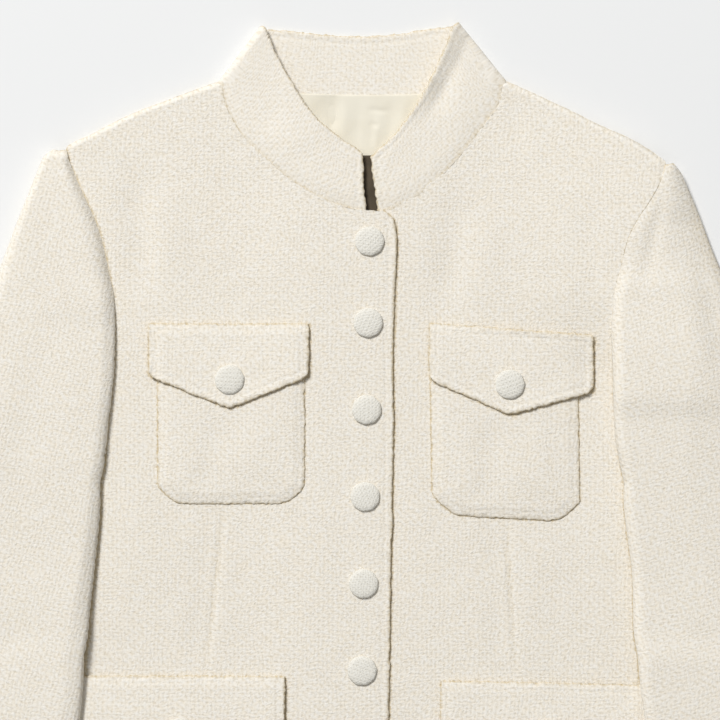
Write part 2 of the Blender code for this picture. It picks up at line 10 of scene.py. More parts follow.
import bpy
import numpy as np
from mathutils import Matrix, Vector


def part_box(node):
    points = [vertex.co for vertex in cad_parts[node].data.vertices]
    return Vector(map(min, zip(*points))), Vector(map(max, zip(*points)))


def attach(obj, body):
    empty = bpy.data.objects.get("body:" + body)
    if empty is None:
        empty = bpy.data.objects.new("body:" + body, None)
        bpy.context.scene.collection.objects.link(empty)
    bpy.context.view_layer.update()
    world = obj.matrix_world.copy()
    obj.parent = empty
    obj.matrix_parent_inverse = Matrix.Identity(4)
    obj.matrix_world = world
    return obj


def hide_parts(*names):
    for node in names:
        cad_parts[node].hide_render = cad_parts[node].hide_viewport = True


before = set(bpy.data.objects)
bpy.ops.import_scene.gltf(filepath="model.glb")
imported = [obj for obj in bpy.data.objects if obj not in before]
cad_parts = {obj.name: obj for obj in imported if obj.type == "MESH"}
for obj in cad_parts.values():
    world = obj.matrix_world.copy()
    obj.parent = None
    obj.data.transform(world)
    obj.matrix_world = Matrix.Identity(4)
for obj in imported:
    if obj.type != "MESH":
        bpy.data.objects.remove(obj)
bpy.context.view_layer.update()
bpy.ops.object.select_all(action="DESELECT")
MM = 0.001

# ---- Back panel
# One piece of cream plain-weave boucle tweed, face down on the table, whose outline is the shoulders,
# the armholes, the side seams and the hem. The fronts are sewn to it at the shoulders and sides.
Edge = namedtuple("Edge", "x y")
LEFT_EDGE = [
    Edge(-95.6, 294.8), Edge(-125, 284), Edge(-151, 274), Edge(-178, 260.5), Edge(-194.5, 251),
    Edge(-194, 246), Edge(-190.5, 236.5), Edge(-184, 222), Edge(-177, 207), Edge(-171.5, 191),
    Edge(-167.5, 172), Edge(-165.2, 155), Edge(-166.5, 139), Edge(-171, 114), Edge(-180, 90),
    Edge(-190, 74), Edge(-203, 58), Edge(-218, 44), Edge(-225, 30), Edge(-221, -20),
    Edge(-210, -80), Edge(-220, -165), Edge(-235, -254)]
RIGHT_EDGE = [
    Edge(91.3, 295.6), Edge(110, 287), Edge(131, 277), Edge(153, 266), Edge(174, 256.5),
    Edge(189, 247), Edge(195.5, 241), Edge(193, 232), Edge(186.5, 219), Edge(178, 206),
    Edge(171, 192), Edge(166.5, 174), Edge(163, 155), Edge(163.5, 139), Edge(168, 114),
    Edge(177, 90), Edge(187, 74), Edge(200, 58), Edge(215, 44), Edge(223, 30), Edge(219, -20),
    Edge(208, -80), Edge(219, -165), Edge(235, -254)]
PANEL = 2.2             # tweed with its interlining
SEAM = 0.3              # between neighbouring pieces
TWEED_PITCH = 2.8       # from yarn to yarn, both ways


def through(knots, values, places):
    """Smooth curve through the rows of a table that never swings past them."""
    knots, values, places = (np.asarray(a, float) for a in (knots, values, places))
    steps = np.diff(knots)
    slopes = np.diff(values) / steps
    tangents = np.empty(len(values))
    tangents[0], tangents[-1] = slopes[0], slopes[-1]
    for i in range(1, len(slopes)):
        before, after = slopes[i - 1], slopes[i]
        near, far = 2 * steps[i] + steps[i - 1], steps[i] + 2 * steps[i - 1]
        turning = before * after <= 0
        tangents[i] = 0 if turning else (near + far) / (near / before + far / after)
    index = np.clip(np.searchsorted(knots, places, side="right") - 1, 0, len(steps) - 1)
    run = steps[index]
    t = (places - knots[index]) / run
    value = (2 * t ** 3 - 3 * t ** 2 + 1) * values[index] + (3 * t ** 2 - 2 * t ** 3) * values[index + 1]
    lean = (t ** 3 - 2 * t ** 2 + t) * tangents[index] + (t ** 3 - t ** 2) * tangents[index + 1]
    return value + run * lean


def refined(table, knots, places):
    """Every column of a table, read off smooth curves at new places."""
    return np.stack([through(knots, [row[k] for row in table], places) for k in range(len(table[0]))], axis=1)


def edge_x(edge, y):
    """x of the body's outline at a height y."""
    rising = edge[::-1]
    return through([row.y for row in rising], [row.x for row in rising], y)


def blend(value, start, end):
    """0 before start, 1 after end, and a smooth ramp between them."""
    t = np.clip((value - start) / (end - start), 0, 1)
    return t * t * (3 - 2 * t)


def lumps(x, y, size, seed):
    """Smooth unevenness between -1 and 1 over a plane, with bumps about one size apart."""
    u, v = np.asarray(x) / size, np.asarray(y) / size
    i, j = np.floor(u), np.floor(v)
    fu, fv = blend(u - i, 0, 1), blend(v - j, 0, 1)

    def corner(a, b):
        return np.mod(np.sin(a * 127.1 + b * 311.7 + seed * 74.7) * 43758.5453, 1)
    low = corner(i, j) * (1 - fu) + corner(i + 1, j) * fu
    high = corner(i, j + 1) * (1 - fu) + corner(i + 1, j + 1) * fu
    return (low * (1 - fv) + high * fv) * 2 - 1


FINE = (0, 0.25, 0.7, 1.3, 2.1, 3, 3.9, 4.8, 5.7, 6.8, 8.2)       # points close to a turned edge


def spaced(lengths, count, fine=FINE):
    """Places along one or more lengths: evenly spread, and close together near both ends."""
    lengths = np.atleast_1d(lengths)[:, None]
    ends = np.array(fine)[None, :] * np.minimum(1, 0.4 * lengths / fine[-1])
    inside = np.linspace(0, 1, count)[None, 1:-1]
    middle = ends[:, -1:] + (lengths - 2 * ends[:, -1:]) * inside
    return np.hstack([ends, middle, lengths - ends[:, ::-1]])


Crease = namedtuple("Crease", "x0 y0 x1 y1 width height")     # from end to end; height below 0 is a trough


def creased(x, y, creases):
    """Height that soft folds add at points of a piece, fading out towards their ends."""
    total = np.zeros(np.shape(x))
    for fold in creases:
        run = np.array([fold.x1 - fold.x0, fold.y1 - fold.y0])
        length = np.hypot(*run)
        along = ((x - fold.x0) * run[0] + (y - fold.y0) * run[1]) / length
        off = ((y - fold.y0) * run[0] - (x - fold.x0) * run[1]) / length
        off = off + 0.12 * fold.width * lumps(along, off * 0, 2.3 * fold.width, fold.x0)
        taper = blend(along, -0.15 * length, 0.35 * length) * blend(along, 1.15 * length, 0.65 * length)
        total = total + fold.height * np.exp(-(off / fold.width) ** 2) * taper
    return total


def sides_of(middle):
    """Distance of each point of a grid from the grid's four sides, along its lines."""
    gaps = [np.linalg.norm(np.diff(middle, axis=k), axis=2) for k in (0, 1)]
    down = np.vstack([np.zeros((1, middle.shape[1])), np.cumsum(gaps[0], axis=0)])
    over = np.hstack([np.zeros((middle.shape[0], 1)), np.cumsum(gaps[1], axis=1)])
    return {"first": down, "last": down[-1:] - down, "inner": over, "outer": over[:, -1:] - over}


def turned(seam):
    """A turned and stitched edge in profile: a ridge, then the groove where it is sewn down."""
    return 0.02 * np.exp(-((seam - 2.4) / 1.6) ** 2) - 0.24 * np.exp(-((seam - 4.9) / 1.1) ** 2)


def cloth(name, middle, thickness, grain, finish, edge=None, sewn_at=(), relief=0, flip=False,
          ragged=0.6, both=False, painted_shade=0):
    """One closed cloth wall round a grid of points in millimetres, with rounded edges that are tight
    where it is sewn on. edge is the distance from the outline, relief the height added to its face,
    and the last argument how much painted shade a place inside the outline takes, besides the painted shade
    along every edge."""
    if edge is None:
        edge = np.minimum.reduce([gap * (4 if side in sewn_at else 1)
                                  for side, gap in sides_of(middle).items()])
    radius = 0.62 * thickness
    half = thickness / 2 * np.sqrt(1 - (1 - np.clip(edge / radius, 0, 1)) ** 2)
    normal = np.cross(np.gradient(middle, axis=1), np.gradient(middle, axis=0))
    normal /= np.maximum(np.linalg.norm(normal, axis=2), 1e-9)[:, :, None] * (-1 if flip else 1)
    x, y = grain[:, :, 0], grain[:, :, 1]
    raised = relief + 0.10 * lumps(x, y, 14, 3) + 0.05 * lumps(x, y, 5, 8)
    raised = raised * blend(edge, 0, radius * 1.5)
    raised = raised + 0.6 * ragged * lumps(x, y, 2.6, 9) * np.exp(-((edge - 1.3) / 1.3) ** 2)
    wander = np.stack([lumps(x, y, 1.9, 1), lumps(x, y, 1.9, 2), lumps(x, y, 4, 4) * 0.6], axis=2)
    held = [blend(gap, 0, 3) for side, gap in sides_of(middle).items() if side in sewn_at]
    loose = ragged * np.exp(-(edge / 1.6) ** 2) * np.minimum.reduce(held + [1 + 0 * edge])
    middle = middle + wander * loose[:, :, None]
    top = middle + normal * (half + raised)[:, :, None]
    low = middle - normal * (half + (raised if both else 0))[:, :, None]
    rows, columns = edge.shape
    above = np.arange(rows * columns).reshape(rows, columns)
    below = above.copy()
    below[1:-1, 1:-1] = rows * columns + np.arange((rows - 2) * (columns - 2)).reshape(rows - 2, columns - 2)
    points = np.vstack([top.reshape(-1, 3), low[1:-1, 1:-1].reshape(-1, 3)]) * MM
    faces = [np.stack([g[:-1, :-1], g[:-1, 1:], g[1:, 1:], g[1:, :-1]], axis=2).reshape(-1, 4)
             for g in (above, below)]
    faces = np.vstack([faces[0][:, ::-1] if flip else faces[0], faces[1] if flip else faces[1][:, ::-1]])
    mesh = bpy.data.meshes.new(name)
    mesh.from_pydata(points.tolist(), [], faces.tolist())
    weave = np.vstack([grain.reshape(-1, 2), grain[1:-1, 1:-1].reshape(-1, 2)]) * MM
    mesh.uv_layers.new(name="grain")
    mesh.uv_layers["grain"].data.foreach_set("uv", weave[faces.reshape(-1)].reshape(-1))
    # Painted shade: a thin darker band along every edge, and the given painted shade inside the outline.
    painted_rim_shade = np.maximum(np.exp(-(edge / 1.1) ** 2), painted_shade + 0 * edge)
    painted_shade_layer = mesh.attributes.new("painted_rim_shade", "FLOAT", "POINT")
    painted_shade_layer.data.foreach_set("value", np.append(painted_rim_shade.reshape(-1), painted_rim_shade[1:-1, 1:-1].reshape(-1)).astype(np.float32))
    # Room for painted shadow, filled in later beside what is laid over the piece.
    mesh.attributes.new("painted_shadow", "FLOAT", "POINT")
    mesh.shade_smooth()
    mesh.materials.append(finish)
    piece = bpy.data.objects.new(name, mesh)
    bpy.context.scene.collection.objects.link(piece)
    return piece


def paint_cast_shadow(piece, clear_of, width=1.0):
    """Paint a cast shadow on a cloth piece beside the outline of what is laid over it, by noting how near its
    points are to that outline.
    clear_of gives the distance outside that outline, which some callers shift away from the light, and width
    is how far the painted shadow reaches from it."""
    points = np.empty(len(piece.data.vertices) * 3)
    piece.data.vertices.foreach_get("co", points)
    points = points.reshape(-1, 3) / MM
    known = np.empty(len(points), np.float32)
    piece.data.attributes["painted_shadow"].data.foreach_get("value", known)
    near = np.clip(4 - clear_of(points[:, 0], points[:, 1]) / width, 0, 9)
    piece.data.attributes["painted_shadow"].data.foreach_set("value", np.maximum(known, near).astype(np.float32))


def sewn(piece, node):
    """Attach a cloth piece to the jacket's root body, and hide the solid it stands for."""
    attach(piece, "root")
    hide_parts(node)


def wired(tree, kind, *feeds, out=0, **settings):
    """Add a node to a shader tree. Each feed goes to its next input, a socket by a link."""
    node = tree.nodes.new(kind)
    for key, value in settings.items():
        setattr(node, key, value)
    for place, feed in enumerate(feeds):
        if isinstance(feed, bpy.types.NodeSocket):
            tree.links.new(feed, node.inputs[place])
        elif feed is not None:
            node.inputs[place].default_value = feed
    return node.outputs[out]


def maths(tree, operation, *feeds):
    """One sum in a shader tree."""
    return wired(tree, "ShaderNodeMath", *feeds, operation=operation)


def mixed(tree, factor, first, second):
    """The colour between two of them, each a socket or red, green and blue, by a factor from 0 to 1."""
    mix = tree.nodes.new("ShaderNodeMix")
    mix.data_type = "RGBA"
    tree.links.new(factor, mix.inputs["Factor"])
    for label, colour in (("A", first), ("B", second)):
        if isinstance(colour, bpy.types.NodeSocket):
            tree.links.new(colour, mix.inputs[label])
        else:
            mix.inputs[label].default_value = (*colour, 1)
    return mix.outputs["Result"]


def finished(name, weave):
    """A new finish on a piece's grain: the material, its shader and the node of its threads."""
    finish = bpy.data.materials.new(name)
    finish.use_nodes = True
    tree = finish.node_tree
    threads = tree.nodes.new("ShaderNodeGroup")
    threads.node_tree = weave
    tree.links.new(wired(tree, "ShaderNodeUVMap", uv_map="grain"), threads.inputs["Grain"])
    return finish, tree.nodes["Principled BSDF"], threads


def surfaced(shader, colour, height, relief, **looks):
    """Give a shader its colour and the relief of the threads, in millimetres, and its other looks."""
    tree = shader.id_data
    bump = tree.nodes.new("ShaderNodeBump")
    bump.inputs["Distance"].default_value = relief * MM
    tree.links.new(height, bump.inputs["Height"])
    tree.links.new(colour, shader.inputs["Base Color"])
    tree.links.new(bump.outputs["Normal"], shader.inputs["Normal"])
    for label, value in looks.items():
        shader.inputs[label.replace("_", " ")].default_value = value


def group(name, inputs, outputs):
    """An empty shader group with named sockets, and its input and output nodes."""
    tree = bpy.data.node_groups.new(name, "ShaderNodeTree")
    for label, kind in inputs:
        tree.interface.new_socket(label, in_out="INPUT", socket_type=kind)
    for label in outputs:
        tree.interface.new_socket(label, in_out="OUTPUT", socket_type="NodeSocketFloat")
    return tree, tree.nodes.new("NodeGroupInput").outputs, tree.nodes.new("NodeGroupOutput").inputs


def plain_weave():
    """Warp over weft over warp: height of the yarns, the hollows between them, and their shade."""
    tree, given, result = group(
        "plain weave", [("Grain", "NodeSocketVector"), ("Pitch", "NodeSocketFloat"),
                        ("Waver", "NodeSocketFloat"), ("Fuzz", "NodeSocketFloat")],
        ["Height", "Hollow", "Shade"])
    scale = maths(tree, "DIVIDE", 1.0, given["Pitch"])
    yarns = wired(tree, "ShaderNodeVectorMath", given["Grain"], None, None, scale, operation="SCALE")
    yarns = wired(tree, "ShaderNodeVectorMath", yarns, (1.0, 1.1, 1.0), operation="MULTIPLY")
    drift = wired(tree, "ShaderNodeTexNoise", yarns, None, 0.11, 2.0, out="Color")
    sway = wired(tree, "ShaderNodeTexNoise", yarns, None, 0.75, 2.0, out="Color")
    half = (0.5, 0.5, 0.5)
    drift = wired(tree, "ShaderNodeVectorMath", drift, half, operation="SUBTRACT")
    sway = wired(tree, "ShaderNodeVectorMath", sway, half, operation="SUBTRACT")
    drift = wired(tree, "ShaderNodeVectorMath", drift, None, None, 2.6, operation="SCALE")
    sway = wired(tree, "ShaderNodeVectorMath", sway, None, None, given["Waver"], operation="SCALE")
    moved = wired(tree, "ShaderNodeVectorMath", yarns, drift, operation="ADD")
    moved = wired(tree, "ShaderNodeVectorMath", moved, sway, operation="ADD")
    split = tree.nodes.new("ShaderNodeSeparateXYZ")
    tree.links.new(moved, split.inputs[0])
    warp, weft = (maths(tree, "COSINE", maths(tree, "MULTIPLY", split.outputs[k], math.pi)) for k in (0, 1))
    both = maths(tree, "MULTIPLY", maths(tree, "MULTIPLY", warp, weft), 0.62)
    ribs = maths(tree, "COSINE", maths(tree, "MULTIPLY", split.outputs[0], 2 * math.pi))
    over = maths(tree, "ADD", maths(tree, "ABSOLUTE", warp), both)
    under = maths(tree, "SUBTRACT", maths(tree, "ABSOLUTE", weft), both)
    height = maths(tree, "MULTIPLY", maths(tree, "MAXIMUM", over, under), 0.25)
    height = maths(tree, "ADD", height, maths(tree, "MULTIPLY", ribs, 0.045))
    slant = maths(tree, "MULTIPLY", maths(tree, "ADD", split.outputs[0], split.outputs[1]), math.pi)
    slant = maths(tree, "MULTIPLY", maths(tree, "COSINE", slant), 0.125)
    fibre = wired(tree, "ShaderNodeTexNoise", moved, None, 4.6, 2.0, 0.6)
    nub = wired(tree, "ShaderNodeTexNoise", moved, None, 1.9, 2.0)
    fibre = maths(tree, "MULTIPLY", maths(tree, "SUBTRACT", fibre, 0.5), given["Fuzz"])
    nub = maths(tree, "MULTIPLY", maths(tree, "SUBTRACT", nub, 0.5), 1.3)
    height = maths(tree, "ADD", maths(tree, "ADD", height, slant), maths(tree, "ADD", fibre, nub))
    height = maths(tree, "ADD", height, 0.25)
    tree.links.new(height, result["Height"])
    hollow = wired(tree, "ShaderNodeMapRange", height, 0.05, 0.62, 1.0, 0.0, interpolation_type="SMOOTHSTEP")
    tree.links.new(hollow, result["Hollow"])
    shade = wired(tree, "ShaderNodeTexNoise", moved, None, 0.9, 2.0)
    shade = wired(tree, "ShaderNodeMapRange", shade, 0.35, 0.65, 0.0, 1.0)
    tree.links.new(shade, result["Shade"])
    return tree


# A woven look: light and warm, the cloth's own tones; hollow, the colour of painted shade in the hollows
# between yarns, and depth, its strength; pitch, waver, fuzz and bump of the yarns.
Cloth = namedtuple("Cloth", "light warm hollow depth pitch waver fuzz bump")
WEAVE = plain_weave()
SHADE_PAINT_COLOUR, SHADE_PAINT_DEPTH = (0.50, 0.37, 0.15), 0.60      # painted shade: warm brown painted at edges and as shadow beside what lies over a piece, and its strength


def woven(name, look):
    """A matt woven finish that reads the piece's own grain map, with painted shade in the yarns' hollows, at
    its edges and beside what lies over it.
    """
    finish, shader, yarns = finished(name, WEAVE)
    tree = finish.node_tree
    for label, value in (("Pitch", look.pitch * MM), ("Waver", look.waver), ("Fuzz", look.fuzz)):
        yarns.inputs[label].default_value = value
    height = yarns.outputs["Height"]
    colour = mixed(tree, yarns.outputs["Shade"], look.light, look.warm)
    # Painted shade: the hollows between the yarns are painted darker.
    colour = mixed(tree, maths(tree, "MULTIPLY", yarns.outputs["Hollow"], look.depth), colour, look.hollow)
    # Painted shade along the piece's edges and painted shadow beside what lies over it, broken up by the
    # yarns.
    painted_rim_shade = wired(tree, "ShaderNodeAttribute", attribute_name="painted_rim_shade", out=2)
    near = wired(tree, "ShaderNodeAttribute", attribute_name="painted_shadow", out=2)
    near = maths(tree, "SUBTRACT", near, maths(tree, "MULTIPLY", height, 1.5))
    near = wired(tree, "ShaderNodeMapRange", near, 1.6, 3.7, 0.0, 1.0, interpolation_type="SMOOTHSTEP")
    painted_rim_shade = maths(tree, "MULTIPLY", painted_rim_shade, maths(tree, "SUBTRACT", 1.3, height))
    painted_rim_shade = maths(tree, "MINIMUM", maths(tree, "MAXIMUM", painted_rim_shade, near), 1.0)
    colour = mixed(tree, maths(tree, "MULTIPLY", painted_rim_shade, SHADE_PAINT_DEPTH), colour, SHADE_PAINT_COLOUR)
    surfaced(shader, colour, height, look.bump, Roughness=0.92, Specular_IOR_Level=0.22, Sheen_Weight=0.08,
             Sheen_Roughness=0.6)
    return finish


# The cream tweed, with painted shade in the hollows between its yarns.
TWEED_LOOK = Cloth(light=(0.868, 0.838, 0.775), warm=(0.86, 0.803, 0.70), hollow=(0.60, 0.52, 0.38),
                   depth=0.42, pitch=TWEED_PITCH, waver=0.55, fuzz=0.75, bump=0.32)
TWEED = woven("cream tweed", TWEED_LOOK)

BACK_NECKLINE = 9.6     # how far the neckline dips below the shoulder points
BACK_GRID = 110, 90     # points up a piece and across it, less those close to its edges
heights = LEFT_EDGE[-1].y + spaced(LEFT_EDGE[0].y - LEFT_EDGE[-1].y, BACK_GRID[0])[0][::-1]
left = np.stack([edge_x(LEFT_EDGE, heights), heights], axis=1)
heights = heights + (RIGHT_EDGE[0].y - LEFT_EDGE[0].y) * blend(heights, 0, LEFT_EDGE[0].y)
right = np.stack([edge_x(RIGHT_EDGE, heights), heights], axis=1)
share = spaced(1, BACK_GRID[1], fine=[d / 450 for d in FINE])[0][None, :, None]
flat = left[:, None, :] * (1 - share) + right[:, None, :] * share
flat[:, :, 1] -= BACK_NECKLINE * blend(np.abs(flat[:, :, 0]), 95, 50) * blend(flat[:, :, 1], 200, 290) ** 2
middle = np.dstack([flat, np.full(flat.shape[:2], PANEL / 2)])
back = cloth("back_panel", middle, PANEL, flat, TWEED, flip=True, ragged=0)
sewn(back, "back")

# ---- Lining and neck label
# The back of the neck shows the pale yellow satin lining, felled to the inside of the collar's seam and
# lying in small soft pleats. A bare dark woven label is sewn to it behind the collar's opening.
SATIN = 1.0
LINING_GRID, LABEL_GRID = (130, 70), (24, 20)         # across and down
LINING_LEFT, LINING_RIGHT, LINING_LOW, LINING_TOP = -84, 80, 188, 286.4
LINING_CREASES = [
    Crease(-24, 286, -23, 264, 7, -1.0), Crease(-20, 287, -23, 244, 2.6, -0.5),
    Crease(-13, 286, -15, 240, 3, 0.35), Crease(2, 277, 16, 275.4, 1.5, -0.45),
    Crease(-31, 285, -29, 250, 3.4, -0.35), Crease(9, 272, 6, 246, 2.4, 0.4),
    Crease(17, 284, 14, 250, 3.2, -0.4), Crease(3, 268, 9, 266, 1.4, -0.4),
    Crease(27, 285, 22, 262, 3, 0.3), Crease(-4, 285, -6, 250, 3.5, -0.3)]


def satin_threads():
    """Long floats of fine thread, all one way, for a soft streaked sheen."""
    tree, given, result = group("satin threads", [("Grain", "NodeSocketVector")], ["Height", "Shade"])
    fine = wired(tree, "ShaderNodeVectorMath", given["Grain"], (3200.0, 160.0, 1.0), operation="MULTIPLY")
    tree.links.new(wired(tree, "ShaderNodeTexNoise", fine, None, 1.0, 2.0), result["Height"])
    broad = wired(tree, "ShaderNodeTexNoise", given["Grain"], None, 70.0, 2.0)
    broad = wired(tree, "ShaderNodeMapRange", broad, 0.35, 0.7, 0.0, 1.0, interpolation_type="SMOOTHSTEP")
    tree.links.new(broad, result["Shade"])
    return tree


THREADS = satin_threads()


def smooth_cloth(name, light, deep, roughness, relief):
    """A fine smooth cloth, whose threads only streak its sheen."""
    finish, shader, threads = finished(name, THREADS)
    colour = mixed(finish.node_tree, threads.outputs["Shade"], light, deep)
    surfaced(shader, colour, threads.outputs["Height"], relief, Roughness=roughness, Specular_IOR_Level=0.35)
    return finish


SATIN_FINISH = smooth_cloth("pale yellow satin", (0.82, 0.78, 0.665), (0.79, 0.745, 0.625), 0.5, 0.03)
LABEL_FINISH = smooth_cloth("dark label", (0.085, 0.062, 0.036), (0.062, 0.045, 0.025), 0.6, 0.05)

x, y = np.meshgrid(LINING_LEFT + spaced(LINING_RIGHT - LINING_LEFT, LINING_GRID[0])[0],
                   LINING_TOP - spaced(LINING_TOP - LINING_LOW, LINING_GRID[1])[0])
y = y + 2.6 * (x / 64) ** 2 * blend(y, 230, 285)
middle = np.dstack([x, y, PANEL + SEAM + SATIN / 2 + 0 * x])
folds = creased(x, y, LINING_CREASES)
lining = cloth("neck_lining", middle, SATIN, middle[:, :, :2], SATIN_FINISH, relief=folds, flip=True,
               ragged=0)
sewn(lining, "back_lining")

low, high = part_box("neck_label")
x, y = np.meshgrid(low.x / MM + spaced((high.x - low.x) / MM, LABEL_GRID[0])[0],
                   high.y / MM - spaced((high.y - low.y) / MM, LABEL_GRID[1])[0])
middle = np.dstack([x, y, (low.z + high.z) / 2 / MM + 0 * x])
label = cloth("plain_label", middle, SATIN, middle[:, :, :2], LABEL_FINISH, flip=True, ragged=0)
sewn(label, "neck_label")

# ---- Fronts
# Two fronts of the same tweed, each with a long dart from the chest pocket down to the hip flap. The
# left one laps over the right one down to the hem; its edge is turned in and stitched.
FRONT_REST = 5.2        # underside of both fronts
LAP_RISE = PANEL + SEAM
LAP_FOOT, LAP_CREST = -95, -23.5    # where the upper front climbs onto the under one, in x
EDGE_ROLL = 4           # width over which a front turns down to meet the back
DART_SHADE = 0.35       # how strong the painted shade along a dart's sewn line is
SHOULDER_RISE = 7.2     # how far the right front swells towards its sleeve's head
ROLL_SHADE = 0.5        # how strong the painted shade is where a front rolls down at its outer edge
UNSTITCHED = 60         # a row's distance from the stitching where its inner edge has none
FRONT_GRID = 256, 104   # points down a front and across it, less those close to its edges
FrontRow = namedtuple("FrontRow", "inner_x inner_y outer_y turn stitch")
UPPER_FRONT = [
    FrontRow(-92.4, 292.3, 294.8, 1, 0), FrontRow(-90.5, 282, 289, 1, 0), FrontRow(-81, 263, 279, 1, 0),
    FrontRow(-63, 244.5, 268, 1, 0), FrontRow(-42, 227.5, 259, 0.9, 0),
    FrontRow(-21, 216.3, 248.5, 0.2, 0), FrontRow(0, 210.7, 236, 0, 0),
    FrontRow(12.5, 210.3, 222, 0, 0.3), FrontRow(19, 204, 207, 0, 1), FrontRow(21, 189, 191, 0, 1),
    FrontRow(20, 171, 172, 0, 1), FrontRow(19.5, 154, 155, 0, 1), FrontRow(19, 139, 139, 0, 1),
    FrontRow(18.3, 120, 120, 0, 1), FrontRow(18.5, 90, 90, 0, 1), FrontRow(19, 74, 74, 0, 1),
    FrontRow(18.5, 58, 58, 0.3, 1), FrontRow(18, 44, 44, 1, 1), FrontRow(18, 28, 28, 1, 1),
    FrontRow(17, -20, -20, 1, 1), FrontRow(16, -80, -80, 1, 1), FrontRow(15, -165, -165, 1, 1),
    FrontRow(14.5, -254, -254, 1, 1)]
UNDER_FRONT = [
    FrontRow(88.5, 293.2, 295.6, 1, 0), FrontRow(86.5, 283, 289, 1, 0), FrontRow(73, 262.5, 272, 1, 0),
    FrontRow(50.5, 236.5, 260, 1, 0), FrontRow(30.5, 221.5, 249, 0.8, 0), FrontRow(13, 211.8, 238.5, 0.1, 0),
    FrontRow(-8, 208.5, 226, 0, 0), FrontRow(-20, 203, 214, 0, 0), FrontRow(-20, 186, 189, 0, 0),
    FrontRow(-20, 171, 172, 0, 0)]
UNDER_FRONT += [FrontRow(-20, y, y, turn, 0) for y, turn in (
    (155, 0), (139, 0), (114, 0), (90, 0), (74, 0), (58, 0.3), (44, 1), (28, 1), (-20, 1), (-80, 1),
    (-165, 1), (-254, 1))]
LEFT_CREASES = [
    Crease(-149, 240, -145, 158, 11, -1.7), Crease(-131, 228, -128, 165, 13, 0.6),
    Crease(-92, 18, -104, -92, 1.4, -1.0), Crease(-101, 12, -109, -92, 8, -0.6),
    Crease(-86, 12, -96, -90, 8, 0.35), Crease(-60, 224, -52, 150, 26, 0.5),
    Crease(-95, -150, -112, -240, 12, 0.5), Crease(-190, 20, -196, -60, 15, -0.6),
    Crease(-150, 40, -158, -60, 15, 0.4), Crease(-40, -120, -46, -250, 14, -0.5)]
RIGHT_CREASES = [
    Crease(61, 228, 52, 136, 12, -1.4), Crease(79, 215, 74, 140, 14, 0.6),
    Crease(92, 285, 103, 250, 6, -0.6), Crease(146, 218, 150, 138, 11, -0.9),
    Crease(91.5, 12, 98, -92, 1.4, -1.0), Crease(83, 18, 89, -92, 9, -0.8),
    Crease(106, 10, 110, -90, 10, 0.35), Crease(30, 60, 34, -60, 13, 0.4),
    Crease(112, -150, 120, -240, 13, 0.5), Crease(186, 20, 192, -60, 15, -0.5),
    Crease(150, 30, 158, -70, 14, 0.5)]


def front_level(x, y, lapping):
    """Underside of a front over the body, with the climb of the upper one and the soft folds."""
    level = FRONT_REST + creased(x, y, LEFT_CREASES if lapping else RIGHT_CREASES)
    level = level + 0.35 * lumps(x, y, 70, 6 + lapping)
    padded = SHOULDER_RISE * blend(x, 70, 185) * blend(y, 105, 165) * blend(y, 330, 190)
    return level + (LAP_RISE * blend(x, LAP_FOOT, LAP_CREST) if lapping else padded)


def make_front(name, node, table, edge, lapping):
    """A front, from its inner edge in the table out to the body's outline."""
    outer = np.array([(edge_x(edge, row.outer_y), row.outer_y) for row in table])
    inner = np.array([(row.inner_x, row.inner_y) for row in table])
    legs = [np.hypot(*np.diff(line, axis=0).T) for line in (inner, outer)]
    knots = np.append(0, np.cumsum(np.maximum(*legs)))
    rows = refined(table, knots, spaced(knots[-1], FRONT_GRID[0])[0])
    inner, outer = rows[:, 0:2], np.stack([edge_x(edge, rows[:, 2]), rows[:, 2]], axis=1)
    width = np.hypot(*(outer - inner).T)
    off = spaced(width, FRONT_GRID[1])
    share = (off / width[:, None])[:, :, None]
    flat = inner[:, None, :] * (1 - share) + outer[:, None, :] * share
    turn = rows[:, 3:4] * (1 - blend(width[:, None] - off, 0, EDGE_ROLL))
    level = front_level(flat[:, :, 0], flat[:, :, 1], lapping)
    down = PANEL + SEAM
    middle = np.dstack([flat, level * (1 - turn) + down * turn + PANEL / 2])
    seam = off + UNSTITCHED * (1 - rows[:, 4:5])
    seam = np.minimum(seam, sides_of(middle)["last"])
    flip = not lapping
    # Painted shade along the dart's sewn line and on the rolled-down outer edges.
    dart = (LEFT_CREASES[2] if lapping else RIGHT_CREASES[4])._replace(width=1.3, height=DART_SHADE)
    piece = cloth(name, middle, PANEL, flat, TWEED, sewn_at=("outer",), relief=turned(seam), flip=flip,
                  painted_shade=creased(flat[:, :, 0], flat[:, :, 1], [dart]) + ROLL_SHADE * turn)
    sewn(piece, node)
    return piece


under = make_front("front_under", "front_right", UNDER_FRONT, RIGHT_EDGE, False)
upper = make_front("front_upper", "front_left", UPPER_FRONT, LEFT_EDGE, True)
# Painted shadow on the under front beside the upper front's edge, moved a little to the right, away from the
# light.
lap_y, lap_x = zip(*sorted((row.inner_y, row.inner_x) for row in UPPER_FRONT if row.stitch))
paint_cast_shadow(under, lambda x, y: x - 0.5 - through(lap_y, lap_x, np.clip(y, lap_y[0], lap_y[-1])))

